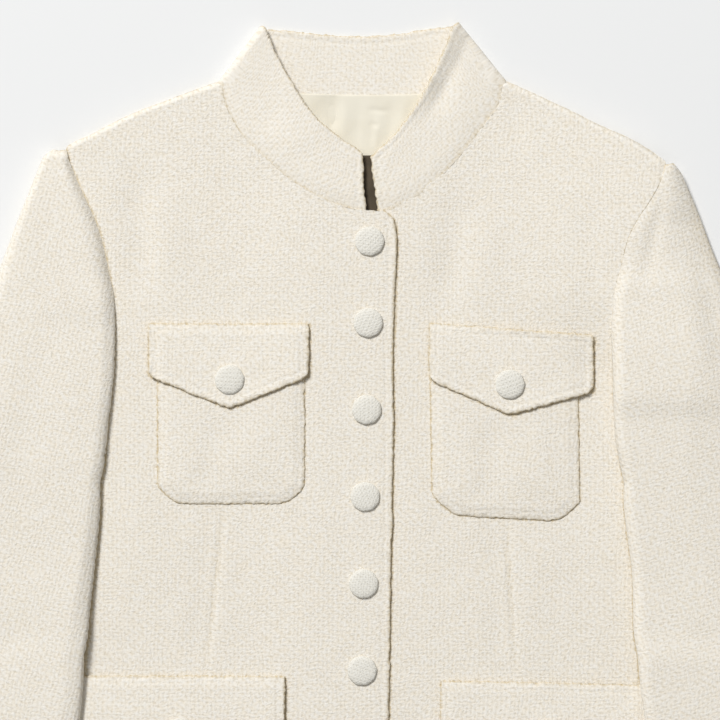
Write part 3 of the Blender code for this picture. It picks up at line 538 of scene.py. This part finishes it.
# ---- Sleeves
# Each sleeve is one piece of tweed, rolled into a tube and set into the armhole. It lies with its
# front fold over the body's side and rounds away to the table on the outside.
ON_FRONT = FRONT_REST + PANEL + SEAM
ON_BODY, ON_TABLE = ON_FRONT + PANEL / 2, PANEL / 2
ON_FLAP = ON_BODY + 4.6   # where a sleeve crosses the hip pocket and its flap
Section = namedtuple("Section", "seam_y out_x out_y hook rest crown roll_in roll_out lift")
LEFT_SLEEVE = [
    Section(250.4, -203, 250.4, 0, ON_BODY, 9.9, 2.6, 2.4, 0),
    Section(243.5, -209.3, 245.6, 0, ON_BODY, 10.6, 6, 3, 0),
    Section(236, -213, 237, 0, ON_BODY, 11.4, 10, 3.4, 0),
    Section(222, -219, 222, 0, ON_BODY, 12.4, 15, 4, 0),
    Section(207, -225, 207, 0, ON_BODY, 13, 19, 4.6, 0),
    Section(191, -231, 191, 0, ON_BODY, 13.5, 21, 5.5, 0),
    Section(172, -238, 172, 0, ON_BODY, 14, 20, 7, 0),
    Section(163, -241, 163, 0.2, ON_BODY, 14.3, 17, 8, 0),
    Section(155, -244, 155, 0.7, ON_BODY, 14.6, 14, 9, 0),
    Section(147, -247, 147, 1.6, ON_BODY, 15, 11.5, 10, 0),
    Section(139, -250, 139, 3, ON_BODY, 15.4, 9.5, 11, 0),
    Section(114, -259, 114, 7.5, ON_BODY, 16.4, 7, 13, 0),
    Section(90, -267.5, 90, 14.5, ON_BODY, 17.4, 6, 15, 0),
    Section(74, -273, 74, 22.5, ON_BODY, 18, 5.5, 16, 0),
    Section(58, -279, 58, 34, ON_BODY, 18.5, 5.5, 16, 0),
    Section(44, -284, 44, 48, ON_BODY, 19, 5.5, 16, 1), Section(28, -290, 28, 53, ON_BODY, 19, 6, 16, 1),
    Section(-20, -305, -20, 45.5, ON_BODY, 19, 8, 15, 1),
    Section(-60, -315.5, -60, 33, ON_BODY + 1.5, 19, 11, 15, 1),
    Section(-84, -321, -84, 27.5, ON_FLAP, 20, 12, 15, 1),
    Section(-125, -327.5, -125, 28, ON_FLAP, 21, 11, 15, 1),
    Section(-175, -333.5, -175, 31, ON_BODY + 1.5, 21, 8, 14, 1),
    Section(-235, -336, -235, 37, ON_BODY, 20, 5.5, 14, 1),
    Section(-260, -335.5, -262, 38, ON_BODY, 18.5, 5, 13, 1),
    Section(-288, -334, -291, 37.5, ON_TABLE + 1.5, 17, 6, 12, 1),
    Section(-312, -332.5, -318, 37, ON_TABLE, 15.5, 6, 10, 1),
    Section(-330, -331, -338, 36, ON_TABLE, 14.5, 6, 9, 1)]
RIGHT_SLEEVE = [
    Section(240.6, 200.6, 241.4, 0, ON_BODY, 9.4, 2.2, 2.4, 0),
    Section(234, 206.2, 234.4, 0, ON_BODY, 10.4, 5.5, 3, 0),
    Section(226, 209.8, 226, 0, ON_BODY, 11.8, 8.5, 4, 0),
    Section(214, 215, 214, 0, ON_BODY, 11.6, 13, 6, 0),
    Section(202, 220, 202, 0, ON_BODY, 12.4, 17, 7, 0),
    Section(189, 224.6, 189, 0, ON_BODY, 13.2, 20, 8, 0),
    Section(172, 231.6, 172, 0, ON_BODY, 14.2, 20, 9, 0),
    Section(163, 235, 163, 0.2, ON_BODY, 15.4, 17, 10, 0),
    Section(155, 238.2, 155, 0.6, ON_BODY, 16, 14, 11, 0),
    Section(147, 241, 147, 1.2, ON_BODY, 16.6, 11.5, 12, 0),
    Section(139, 244, 139, 2.2, ON_BODY, 17.4, 9.5, 13, 0),
    Section(114, 253.5, 114, 6.5, ON_BODY, 19.4, 7, 14, 0),
    Section(90, 262, 90, 15, ON_BODY, 20.4, 6, 16, 0),
    Section(74, 268, 74, 24.5, ON_BODY, 19, 5.5, 16, 0),
    Section(58, 274, 58, 36, ON_BODY, 19, 5.5, 16, 0), Section(44, 279, 44, 49, ON_BODY, 19, 5.5, 16, 1),
    Section(28, 285, 28, 55, ON_BODY, 19, 5.5, 16, 1),
    Section(-20, 300, -20, 46, ON_BODY, 19, 5.5, 15, 1),
    Section(-60, 311, -60, 36, ON_BODY + 1.5, 20, 5.5, 15, 1),
    Section(-84, 317, -84, 30.5, ON_FLAP, 22, 5.5, 15, 1),
    Section(-125, 325, -125, 30, ON_FLAP, 22, 5.5, 15, 1),
    Section(-175, 332, -175, 34, ON_BODY + 1.5, 21, 5.5, 14, 1),
    Section(-235, 335, -235, 39, ON_BODY, 20, 5.5, 14, 1),
    Section(-260, 334.5, -262, 40, ON_BODY, 18.5, 5, 13, 1),
    Section(-288, 333, -291, 39, ON_TABLE + 1.5, 17, 6, 12, 1),
    Section(-312, 331.5, -318, 38, ON_TABLE, 15.5, 6, 10, 1),
    Section(-330, 330, -338, 37, ON_TABLE, 14.5, 6, 9, 1)]
CUFF_SEAM_X = 240
OVER_SEAM = 0.5         # how far a sleeve's head laps over the front's raw edge
EASE = 0.3              # how far the right sleeve's head stands over the front's edge
TIP = 6                 # the length over which a sleeve's head is gathered flat at the shoulder
LOW_SHADE = 0.45        # how strong the painted shade is on a sleeve's low outer fold near the table
TURN_OF_GRAIN = math.radians(12)
SLEEVE_GRID = 204, 118  # points down a sleeve and round it, less those close to its edges
SLEEVE_CREASES = {
    -1: [Crease(-214, 230, -226, 150, 10, 0.5), Crease(-200, 150, -232, 20, 14, -0.6),
         Crease(-225, 120, -262, -30, 15, 0.6), Crease(-240, 0, -285, -30, 9, -0.8),
         Crease(-215, -60, -262, -90, 10, -0.5), Crease(-235, -120, -290, -150, 12, 0.9),
         Crease(-255, -230, -300, -250, 9, -0.7)],
    1: [Crease(195, 232, 182, 164, 5, -0.9), Crease(224, 190, 236, 90, 10, -2.0),
        Crease(205, 140, 236, 20, 14, -0.6), Crease(222, 120, 262, -30, 15, 0.5),
        Crease(240, 0, 285, -30, 9, -0.8), Crease(212, -62, 262, -92, 10, -1.0),
        Crease(235, -120, 290, -150, 12, 0.9), Crease(255, -230, 300, -250, 9, -0.7)]}


def sleeve_path(row, reach, gentle, droop, brow):
    """Middle of the wall in one section, as distance out from the seam and level. gentle eases the
    rise from the armhole, droop is how wide the slope down to the outer fold is, and brow how much
    thinner the tube is at its inner fold."""
    rest, crown, hook, roll_in = row.rest, row.crown, row.hook, row.roll_in
    far, low = reach - PANEL / 2, min(roll_in, hook)
    fold = rest + min(1, hook / roll_in) * (crown - rest) / 2
    roundness = 2 * (fold - rest) / (crown - rest)
    quarter = np.radians(np.arange(0, 91, 6))
    tuck = [(-(hook - low) * k / 6, rest) for k in range(6)]
    tuck += [(-hook + low * (1 - math.sin(a)), rest + (fold - rest) * (1 - math.cos(a))) for a in quarter]
    along = roundness * (1 - np.cos(quarter)) + (1 - roundness) * quarter / quarter[-1]
    level = np.sin(quarter) * (1 - gentle) + (1 - (1 - along) ** 1.6) * gentle
    rise = [(-hook + roll_in * x, fold + (crown - fold) * z) for x, z in zip(along[1:], level[1:])]
    outer = max(row.roll_out, min(droop, 0.9 * (far + hook - roll_in)))
    share = np.linspace(0, 1, 26)[1:] ** 0.8
    sloped = max(0, (outer - row.roll_out) / max(droop, 1))
    edge = ON_TABLE + (0.5 - 0.36 * sloped) * (crown - ON_TABLE)
    power, root = 2 - 0.55 * sloped, 0.5 + 0.38 * sloped
    turn = [(far - outer * (1 - t), edge + (crown - edge) * (1 - t ** power) ** root) for t in share]
    below = edge - ON_TABLE
    turn += [(far - row.roll_out * (1 - math.cos(a)), edge - below * math.sin(a))
             for a in np.radians(np.arange(6, 91, 6))]
    end, climb = SEAM + 1.5 * (1 - row.lift), row.lift * (rest - ON_TABLE)
    riser = [(end + 1 + 12 * (1 - k / 8), ON_TABLE + climb * float(blend(k / 8, 0, 1))) for k in range(9)]
    eased = [(x, rest + (z - rest) * (1 - brow * math.exp(-((x + hook) / 9) ** 2))) for x, z in tuck + rise]
    path = np.array(eased + turn + (riser if row.lift else []) + [(end, ON_TABLE + climb)])
    return path[np.append(True, np.hypot(*np.diff(path, axis=0).T) > 1e-6)]


def make_sleeve(name, node, table, edge, side):
    """A sleeve of many thin sections, each from the armhole's seam over the top and back underneath."""
    knots = np.array([table[0].seam_y - row.seam_y for row in table])
    rows = [Section(*row) for row in refined(table, knots, spaced(knots[-1], SLEEVE_GRID[0])[0])]
    hem, grid, lengths, middles, above = edge[-1], [], [], [], []
    for row in rows:
        below = max(0, (hem.y - row.seam_y) / (hem.y - table[-1].seam_y))
        seam_x = edge_x(edge, max(row.seam_y, hem.y)) + (side * CUFF_SEAM_X - hem.x) * below
        lapped = OVER_SEAM * max(0, 1 - row.hook / 7)
        seam = np.array([seam_x + side * (0.72 * row.lift - lapped), row.seam_y])
        outward = np.array([row.out_x, row.out_y]) - seam
        reach = float(np.hypot(*outward))
        armhole = 1 - min(1, row.hook / 7)
        gentle = armhole * (side > 0)
        droop = (85 - 52 * blend(row.seam_y, 0, 165)) * blend(row.seam_y, -300, -100) * (side > 0)
        row = row._replace(roll_in=row.roll_in * (1 - armhole * (0.4 if side < 0 else 0.6)))
        drop = (ON_BODY - FRONT_REST - PANEL / 2) * blend(row.seam_y, 252, 232)
        if side > 0:
            swell = float(front_level(seam_x, row.seam_y, False)) - FRONT_REST
            rest = row.rest + armhole * (swell + EASE - drop)
            row = row._replace(rest=rest, crown=max(row.crown, rest + EASE))
            drop = drop * (1 - armhole) + armhole * EASE
        brow = 0.5 * blend(row.hook, 0, 4) * (1 - 0.6 * blend(row.seam_y, 0, -70)) * (side < 0)
        path = sleeve_path(row, reach, gentle, droop, brow)
        measure = np.append(0, np.cumsum(np.hypot(*np.diff(path, axis=0).T)))
        arc = spaced(measure[-1], SLEEVE_GRID[1], fine=FINE[:-4])[0]
        points = np.stack([np.interp(arc, measure, path[:, k]) for k in (0, 1)], axis=1)
        upper = points[:np.argmax(points[:, 0]) + 1]
        start = np.argmin(upper[:, 0])
        centre = (points[:, 0].max() + points[:, 0].min()) / 2
        halfway = np.interp(centre, upper[start:, 0], arc[start:len(upper)])
        sewn_in = (1 - min(1, row.hook / 2)) * np.exp(-(arc / 3.2) ** 2)
        points[:, 1] -= drop * sewn_in
        pinch = blend(row.seam_y, table[0].seam_y - TIP, table[0].seam_y)
        share = (points[:, 1] - ON_TABLE) / (row.crown - ON_TABLE)
        flush = float(front_level(seam_x, row.seam_y, side < 0)) + PANEL / 2
        points[:, 1] += pinch * (flush - 1.8 + 1.9 * share - points[:, 1])
        direction = outward / reach
        grid.append(np.column_stack([seam + points[:, 0:1] * direction, points[:, 1]]))
        lengths.append(side * (arc - halfway))
        middles.append(seam + centre * direction)
        above.append(blend(points[:, 1], row.crown - 7, row.crown - 1))
    middle, middles, above = np.array(grid), np.array(middles), np.array(above)
    across = np.array([math.cos(TURN_OF_GRAIN), side * math.sin(TURN_OF_GRAIN)])
    along = np.array([-across[1], across[0]])
    grain = np.dstack([np.array(lengths) * across[0] + (middles @ across)[:, None], middle[:, :, :2] @ along])
    middle[:, :, 2] += creased(middle[:, :, 0], middle[:, :, 1], SLEEVE_CREASES[side]) * above
    # Painted shade darkening the sleeve where it rounds down towards the table.
    low = LOW_SHADE * blend(middle[:, :, 2], 10, 3)
    piece = cloth(name, middle, PANEL, grain, TWEED, sewn_at=("inner", "outer"), flip=side < 0, painted_shade=low)
    sewn(piece, node)


make_sleeve("left_sleeve", "sleeve_left", LEFT_SLEEVE, LEFT_EDGE, -1)
make_sleeve("right_sleeve", "sleeve_right", RIGHT_SLEEVE, RIGHT_EDGE, 1)


def beyond_fold(x, y, table, edge, side):
    """How far a place on a front is from the inner fold of the sleeve that lies over it."""
    rising = [row for row in table[::-1] if row.seam_y > edge[-1].y]
    y = np.clip(y, edge[-1].y, table[0].seam_y)
    hook = through([row.seam_y for row in rising], [row.hook for row in rising],
                   np.maximum(y, rising[0].seam_y))
    return side * (edge_x(edge, y) - x) - hook


# Painted shadow on each front beside the inner fold of the sleeve over it; on the left it is moved away from
# the light.
paint_cast_shadow(upper, lambda x, y: beyond_fold(x - 0.8, y, LEFT_SLEEVE, LEFT_EDGE, -1), width=1.2)
paint_cast_shadow(under, lambda x, y: beyond_fold(x, y, RIGHT_SLEEVE, RIGHT_EDGE, 1), width=0.7)

# ---- Collar
# A stand collar of two layers of tweed, sewn to the neck. Laid flat, its two front leaves lie on the
# fronts and its back shows its inner side; its free edge is turned and stitched.
BAND = 3.0
CollarRow = namedtuple("CollarRow", "seam_x seam_y edge_x edge_y")
LEFT_LEAF = [
    CollarRow(-0.3, 211.2, -1.2, 247.5), CollarRow(-21, 217, -20, 260.5),
    CollarRow(-42, 228.2, -35, 274.5), CollarRow(-62.5, 245.2, -48.5, 295),
    CollarRow(-80.6, 263.5, -59, 314), CollarRow(-89.9, 282.3, -63.5, 324.5),
    CollarRow(-92.1, 292.8, -65.1, 328.8)]
COLLAR_BACK = [
    LEFT_LEAF[-1], CollarRow(-66, 289, -48, 327.5), CollarRow(-40, 286.3, -26, 325),
    CollarRow(0, 285.8, 0, 324), CollarRow(36, 286.3, 24, 325.8), CollarRow(62, 289.2, 42, 328.8),
    CollarRow(88.2, 293.7, 58.2, 330.7)]
RIGHT_LEAF = [
    COLLAR_BACK[-1], CollarRow(86, 283.4, 54, 320), CollarRow(72.5, 263, 46, 302.5),
    CollarRow(50.4, 236.6, 36, 283), CollarRow(30.8, 219.8, 21, 262), CollarRow(8.4, 208.8, 3.5, 245)]
LEAF_LEVEL = FRONT_REST + BAND / 2
# The collar's tweed, with a little less painted shade between its yarns.
COLLAR_TWEED = woven("collar tweed", TWEED_LOOK._replace(depth=0.4, bump=0.2))
COLLAR_SHADE = 0.5      # how strong the painted shade along the collar's neck seam is
COLLAR_GRID = 330, 32   # points round the neck and across the band, less those close to the edges
COLLAR_CREASES = [Crease(60, 318, 44, 272, 7, -1.0), Crease(70, 300, 58, 262, 10, 0.5),
                  Crease(-60, 268, -40, 248, 12, 0.4), Crease(-75, 300, -58, 262, 9, -0.4)]


def folded_row(row, side, angle):
    """One row of the collar on its way round a side fold, from the back at -90 to a leaf at 90."""
    radius = (LEAF_LEVEL - BAND / 2) / 2
    run = np.array([row.edge_x - row.seam_x, row.edge_y - row.seam_y])
    run /= np.hypot(*run)
    x, y = np.array([run[1], -run[0]]) * side * radius * math.cos(math.radians(angle))
    level = BAND / 2 + radius * (1 + math.sin(math.radians(angle)))
    return [(row.seam_x + x, row.seam_y + y, level), (row.edge_x + x, row.edge_y + y, level)]


def laid_row(row, level, lapping=0):
    """One row of the collar lying flat at a level, or climbing with the upper front."""
    rise = [level + LAP_RISE * lapping * blend(x, LAP_FOOT, LAP_CREST) for x in (row.seam_x, row.edge_x)]
    return [(row.seam_x, row.seam_y, rise[0]), (row.edge_x, row.edge_y, rise[1])]


turns = list(range(-75, 76, 15))
rows = [laid_row(row, LEAF_LEVEL, lapping=1) for row in LEFT_LEAF]
rows += [folded_row(LEFT_LEAF[-1], -1, -angle) for angle in turns]
rows += [laid_row(row, BAND / 2) for row in COLLAR_BACK]
rows += [folded_row(RIGHT_LEAF[0], 1, angle) for angle in turns]
rows += [laid_row(row, LEAF_LEVEL) for row in RIGHT_LEAF]
rows = np.array(rows).reshape(len(rows), 6)
halfway = (rows[:, :3] + rows[:, 3:]) / 2
knots = np.append(0, np.cumsum(np.linalg.norm(np.diff(halfway, axis=0), axis=1)))
rows = refined(rows, knots, spaced(knots[-1], COLLAR_GRID[0])[0])
share = spaced(1, COLLAR_GRID[1], fine=[d / 41 for d in FINE])[0][None, :, None]
laid_on_front = blend(rows[:, None, 2:3], BAND, LEAF_LEVEL)
share = share * 1.02 - 0.05 * (1 - share) * laid_on_front
middle = rows[:, None, :3] * (1 - share) + rows[:, None, 3:] * share
x, y, z = middle[:, :, 0], middle[:, :, 1], middle[:, :, 2]
sides = sides_of(middle)
leaf = blend(z, BAND, LEAF_LEVEL)
z += creased(x, y, COLLAR_CREASES) * leaf - 0.9 * leaf * np.exp(-(sides["inner"] / 7) ** 2)
z += 3.2 * leaf * blend(sides["outer"], 15, 0) * blend(y, 258, 300) * (x > 0)
x += 1.2 * np.exp(-(sides["first"] / 4) ** 2) * np.exp(-((y - 211) / 8) ** 2) * leaf
run = np.gradient(rows[:, :2], axis=0)
run /= np.maximum(np.hypot(*run.T), 1e-6)[:, None]
run = np.stack([np.convolve(np.pad(run[:, k], 3, mode="edge"), np.ones(7) / 7, mode="valid")
                for k in (0, 1)])
run = (run / np.hypot(*run)).T
away = middle[:, :, :2] - rows[:, None, :2]
across = np.stack([-run[:, 1], run[:, 0]], axis=1)
across = across * np.where(np.sum(across * (rows[:, 3:5] - rows[:, :2]), axis=1) < 0, -1, 1)[:, None]
grain = np.dstack([sides["first"][:, :1] + np.einsum("ijk,ik->ij", away, run),
                   np.einsum("ijk,ik->ij", away, across)])
seam = np.minimum.reduce([sides[side] for side in ("outer", "first", "last")])
# Painted shade along the collar leaves' sewn neck seam.
stitched = COLLAR_SHADE * leaf * np.exp(-((sides["inner"] - 1.6) / 1.4) ** 2)
collar = cloth("stand_collar", middle, BAND, grain, COLLAR_TWEED, sewn_at=("inner",), relief=turned(seam),
               both=True, painted_shade=stitched)
sewn(collar, "collar")

# ---- Patch pockets
# Four bags cut square with clipped lower corners, turned in and stitched to the fronts on three sides,
# with their mouths under the flaps.
PATCH = 2.0
SWAY = 0.3              # how far a tilted pocket's lower end swings sideways, against its tilt
Pocket = namedtuple("Pocket", "left right mouth bottom tilt chamfer across down")
POCKETS = {
    "chest_pocket_left": Pocket(-135, -39, 120, 20, 0.0, 13, 84, 84),
    "chest_pocket_right": Pocket(42, 138.5, 118, 13, -5.0, 15, 84, 84),
    "hip_pocket_left": Pocket(-187, -54, -108, -232, 0.0, 18, 70, 66),
    "hip_pocket_right": Pocket(51, 184, -110, -232, -2.0, 18, 70, 66)}
POCKET_CREASES = [Crease(-97, 78, -104, 26, 9, -0.8), Crease(-70, 80, -74, 28, 12, 0.5),
                  Crease(80, 72, 79, 20, 10, -0.9), Crease(112, 76, 108, 20, 12, 0.5)]


def pocket_bottom(pocket, near):
    """y of a pocket's lower edge, its corners cut off and softened, by the distance from its sides."""
    clipped = (1 - near / pocket.chamfer + np.sqrt((1 - near / pocket.chamfer) ** 2 + 0.06)) / 2
    rounded = 1 - np.sqrt(1 - np.clip(1 - near / (pocket.chamfer + 3), 0, 1) ** 2)
    return pocket.bottom + pocket.chamfer * (0.6 * clipped + 0.4 * rounded)


def outside_pocket(pocket, x, y):
    """How far a place on a front is outside the outline of a pocket's bag."""
    lean = pocket.tilt / (pocket.right - pocket.left)
    x, y = x - lean * (y - pocket.mouth) * SWAY, y - lean * (x - pocket.left)
    near = np.minimum(x - pocket.left, pocket.right - x)
    above = (y - pocket_bottom(pocket, near)) / np.sqrt(1 + 0.5 * (near < pocket.chamfer))
    return -np.minimum.reduce([near, above, pocket.mouth - y])


def make_pocket(node, pocket):
    """A bag moulded on the front under it, a little puffed between its stitched edges."""
    x, down = np.meshgrid(pocket.left + spaced(pocket.right - pocket.left, pocket.across)[0],
                          spaced(1, pocket.down, fine=[d / 100 for d in FINE])[0])
    near = np.minimum(x - pocket.left, pocket.right - x)
    bottom = pocket_bottom(pocket, near)
    y = pocket.mouth - (pocket.mouth - bottom) * down
    slope = np.gradient(bottom[0]) / np.gradient(x[0])
    seam = np.minimum(near, (y - bottom) / np.sqrt(1 + slope ** 2))
    edge = np.minimum(seam, pocket.mouth - y)
    lean = pocket.tilt / (pocket.right - pocket.left)
    x, y = x + lean * (y - pocket.mouth) * SWAY, y + lean * (x - pocket.left)
    puff = 0.8 * blend(edge, 3, 30) - 1.2 * np.exp(-(seam / 4) ** 2)
    level = front_level(x, y, pocket.left < 0) + PANEL + SEAM + PATCH / 2
    middle = np.dstack([x, y, level + puff + creased(x, y, POCKET_CREASES)])
    piece = cloth(node + "_bag", middle, PATCH, middle[:, :, :2], TWEED, edge=edge, relief=turned(seam),
                  flip=True)
    sewn(piece, node)
    # Painted shadow on the front round the pocket's edge.
    paint_cast_shadow(upper if pocket.left < 0 else under, lambda x, y: outside_pocket(pocket, x, y), width=0.4)
    return piece


bags = {node: make_pocket(node, pocket) for node, pocket in POCKETS.items()}

# ---- Pocket flaps
# Pointed flaps in two layers, stitched along their upper edge over each pocket's mouth and buttoned
# down at the point, whose lower edge stands a little off the bag.
Flap = namedtuple("Flap", "left right top side_left side_right point point_x tilt")
FLAPS = {
    "chest_flap_left": Flap(-141, -36.5, 137.5, 104, 104, 83, -88, 0.0),
    "chest_flap_right": Flap(41.5, 148.5, 138, 102, 102, 82.5, 94, -8.0),
    "hip_flap_left": Flap(-188, -52, -91.5, -126, -126, -148, -120, 0.0),
    "hip_flap_right": Flap(49, 185, -94.5, -128, -128, -150, 117, -3.0)}
CORNER = 5.0            # radius of the flap's lower corners
FLAP_GRID = 92, 42      # points across a flap and down it, less those close to its edges


def outside_flap(flap, x, y):
    """How far a place is outside a flap's edge."""
    y = y - flap.tilt * (x - flap.left) / (flap.right - flap.left)
    left = x < flap.point_x
    reach = np.where(left, flap.point_x - flap.left, flap.right - flap.point_x)
    drop = np.where(left, flap.side_left, flap.side_right) - flap.point
    bottom = flap.point + drop * np.abs(x - flap.point_x) / reach
    low_edge = (y - bottom) / np.sqrt(1 + (drop / reach) ** 2)
    return -np.minimum.reduce([x - flap.left, flap.right - x, low_edge, flap.top - y])


def make_flap(node, flap):
    """A pointed flap that climbs from the front onto its pocket's bag, with its point standing off."""
    x, share = np.meshgrid(flap.left + spaced(flap.right - flap.left, FLAP_GRID[0])[0],
                           spaced(1, FLAP_GRID[1], fine=[d / 48 for d in FINE])[0])
    left, right = flap.point_x - flap.left, flap.right - flap.point_x
    off = np.where(x < flap.point_x, (flap.point_x - x) / left, (x - flap.point_x) / right)
    side = np.where(x < flap.point_x, flap.side_left, flap.side_right)
    off = np.sqrt(off ** 2 + 0.05 ** 2) - 0.05
    near = np.minimum(x - flap.left, flap.right - x)
    corner = CORNER - np.sqrt(np.maximum(0, CORNER ** 2 - np.maximum(0, CORNER - near) ** 2))
    bottom = flap.point + (side - flap.point) * off + corner
    slope = np.abs(side - flap.point) / np.where(x < flap.point_x, left, right)
    y = flap.top - (flap.top - bottom) * share
    low_edge = (y - bottom) / np.sqrt(1 + slope ** 2)
    edge = np.minimum.reduce([near, low_edge, flap.top - y])
    y = y + flap.tilt * (x - flap.left) / (flap.right - flap.left)
    down = flap.top - y
    lift = 1.1 * blend(low_edge, 14, 0) * np.exp(-((x - flap.point_x - 8) / 32) ** 2)
    level = front_level(x, y, flap.left < 0) + PANEL + SEAM + PATCH / 2 - 0.3 * np.exp(-(down / 3) ** 2)
    pocket = node.replace("flap", "pocket")
    bag = POCKETS[pocket]
    over = blend(x, bag.left - 5, bag.left + 6) * blend(x, bag.right + 6, bag.right - 8)
    climb = 0.35 + 0.25 * blend(down, 1, 6) + 0.4 * blend(down, 2, 30)
    level = level + (PATCH + 0.3) * climb * (0.5 + 0.5 * over)
    middle = np.dstack([x, y, level + lift])
    piece = cloth(node + "_cloth", middle, PATCH, middle[:, :, :2], TWEED, edge=edge,
                  relief=turned(edge), flip=True)
    sewn(piece, node)
    # Painted shadow beside the flap's edge on the bag and the front, moved down and right, away from the
    # light.
    for below in (bags[pocket], upper if flap.left < 0 else under):
        paint_cast_shadow(below, lambda x, y: outside_flap(flap, x - 0.7, y + 1.2), width=1.0)


for node, flap in FLAPS.items():
    make_flap(node, flap)

# ---- Covered buttons
# Shank buttons covered with a fine cooler cloth of the same cream, drawn tight over a low dome: eight
# down the front and one on each flap.
DOME = [(9.0, 0.0), (9.55, 0.5), (9.6, 1.0), (9.3, 1.6), (8.6, 2.1), (7.4, 2.5), (5.6, 2.75), (3.5, 2.9),
        (1.6, 2.95)]        # radius and height of each ring, from the foot up
# The button cloth, with painted shade in the hollows between its yarns.
BUTTON_CLOTH = woven("button cloth", Cloth(
    light=(0.845, 0.832, 0.775), warm=(0.83, 0.805, 0.73), hollow=(0.55, 0.51, 0.42), depth=0.45, pitch=1.7,
    waver=0.5, fuzz=0.7, bump=0.3))
PLEATS, PLEAT = 9, 0.012        # small pleats round a button's foot, and their share of its radius
STRETCH = 25            # how much the cloth is stretched over the dome, for each metre of height
SORT_FROM = (0.013, 0.0047, 0.02)   # off the dome's lines of symmetry, so its points sort one way only

bpy.ops.mesh.primitive_circle_add(vertices=56, radius=DOME[0][0] * MM, fill_type="NGON", location=(0, 0, 0))
button = bpy.context.object
bpy.ops.object.mode_set(mode="EDIT")
for (radius, height), (wider, higher) in zip(DOME, DOME[1:]):
    bpy.ops.mesh.extrude_region_move(TRANSFORM_OT_translate={"value": (0, 0, (higher - height) * MM)})
    bpy.ops.transform.resize(value=(wider / radius, wider / radius, 1), center_override=(0, 0, 0))
bpy.ops.mesh.poke()
bpy.ops.mesh.select_all(action="SELECT")
bpy.ops.mesh.normals_make_consistent(inside=False)
bpy.context.scene.cursor.location = SORT_FROM
bpy.ops.mesh.sort_elements(type="CURSOR_DISTANCE", elements={"VERT", "EDGE", "FACE"})
bpy.ops.object.mode_set(mode="OBJECT")
bpy.ops.object.shade_smooth()
button.data.materials.append(BUTTON_CLOTH)
smooth = button.modifiers.new("rounder", "SUBSURF")
smooth.levels = smooth.render_levels = 1
bpy.ops.object.modifier_apply(modifier=smooth.name)
button_nodes = [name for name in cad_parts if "button" in name]
for number, node in enumerate(sorted(button_nodes)):
    low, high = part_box(node)
    centre = (low + high) / 2
    mesh = button.data.copy()
    mesh.name = node + "_cover"
    points = np.empty(len(mesh.vertices) * 3)
    mesh.vertices.foreach_get("co", points)
    points = points.reshape(-1, 3)
    turn = math.radians(40 + 23 * number)
    away = np.arctan2(points[:, 1], points[:, 0])
    foot = blend(np.hypot(points[:, 0], points[:, 1]), 0.005, 0.0095)
    drawn = 1 + PLEAT * np.sin(PLEATS * away + number) * foot
    flat = points[:, :2] @ np.array([[math.cos(turn), -math.sin(turn)], [math.sin(turn), math.cos(turn)]])
    reach = 1 + points[:, 2:3] * STRETCH
    corners = np.empty(len(mesh.loops), int)
    mesh.loops.foreach_get("vertex_index", corners)
    uv = mesh.uv_layers.get("grain") or mesh.uv_layers.new(name="grain")
    uv.data.foreach_set("uv", (flat / reach)[corners].reshape(-1))
    points[:, :2] *= drawn[:, None]
    points += np.array([centre.x, centre.y, low.z])
    mesh.vertices.foreach_set("co", points.reshape(-1))
    piece = bpy.data.objects.new(mesh.name, mesh)
    bpy.context.scene.collection.objects.link(piece)
    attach(piece, "root")
    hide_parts(node)
bpy.data.objects.remove(button)

# ---- Table, light and camera
# A plain pale surface, one big soft light from the upper left, an even pale surrounding, and a camera
# straight above the upper part of the jacket.
bpy.ops.mesh.primitive_plane_add(size=8, location=(0, 0, 0))
table = bpy.context.object
table.name = "table"
paper = bpy.data.materials.new("pale table")
paper.use_nodes = True
paper.node_tree.nodes["Principled BSDF"].inputs["Base Color"].default_value = (0.83, 0.84, 0.845, 1)
paper.node_tree.nodes["Principled BSDF"].inputs["Roughness"].default_value = 0.9
table.data.materials.append(paper)

camera_data = bpy.data.cameras.new("camera")
LENS, SENSOR = 200, 36
camera_data.lens, camera_data.sensor_width = LENS, SENSOR
camera = bpy.data.objects.new("camera", camera_data)
VIEW_X, VIEW_Y, VIEW_WIDTH, VIEW_LEVEL = -3.25, 113.75, 468, 9
camera.location = (VIEW_X * MM, VIEW_Y * MM, (VIEW_LEVEL + VIEW_WIDTH * LENS / SENSOR) * MM)
camera_data.clip_end = 20
bpy.context.scene.collection.objects.link(camera)
bpy.context.scene.camera = camera

LAMP_AZIMUTH, LAMP_HEIGHT, LAMP_DISTANCE, LAMP_SIZE = math.radians(123), math.radians(50), 8.0, 2.2
lamp = bpy.data.lights.new("key", "AREA")
lamp.shape, lamp.size, lamp.energy, lamp.color = "SQUARE", LAMP_SIZE, 590, (1.0, 0.993, 0.985)
key = bpy.data.objects.new("key", lamp)
aim = Vector((math.cos(LAMP_AZIMUTH) * math.cos(LAMP_HEIGHT),
              math.sin(LAMP_AZIMUTH) * math.cos(LAMP_HEIGHT), math.sin(LAMP_HEIGHT)))
key.location = Vector((0, 0.1, 0)) + aim * LAMP_DISTANCE
key.rotation_euler = aim.to_track_quat("Z", "Y").to_euler()
bpy.context.scene.collection.objects.link(key)
world = bpy.data.worlds.new("studio")
world.use_nodes = True
world.node_tree.nodes["Background"].inputs["Color"].default_value = (1.0, 0.995, 0.985, 1)
world.node_tree.nodes["Background"].inputs["Strength"].default_value = 0.31
bpy.context.scene.world = world
bpy.context.scene.view_settings.view_transform = "Standard"
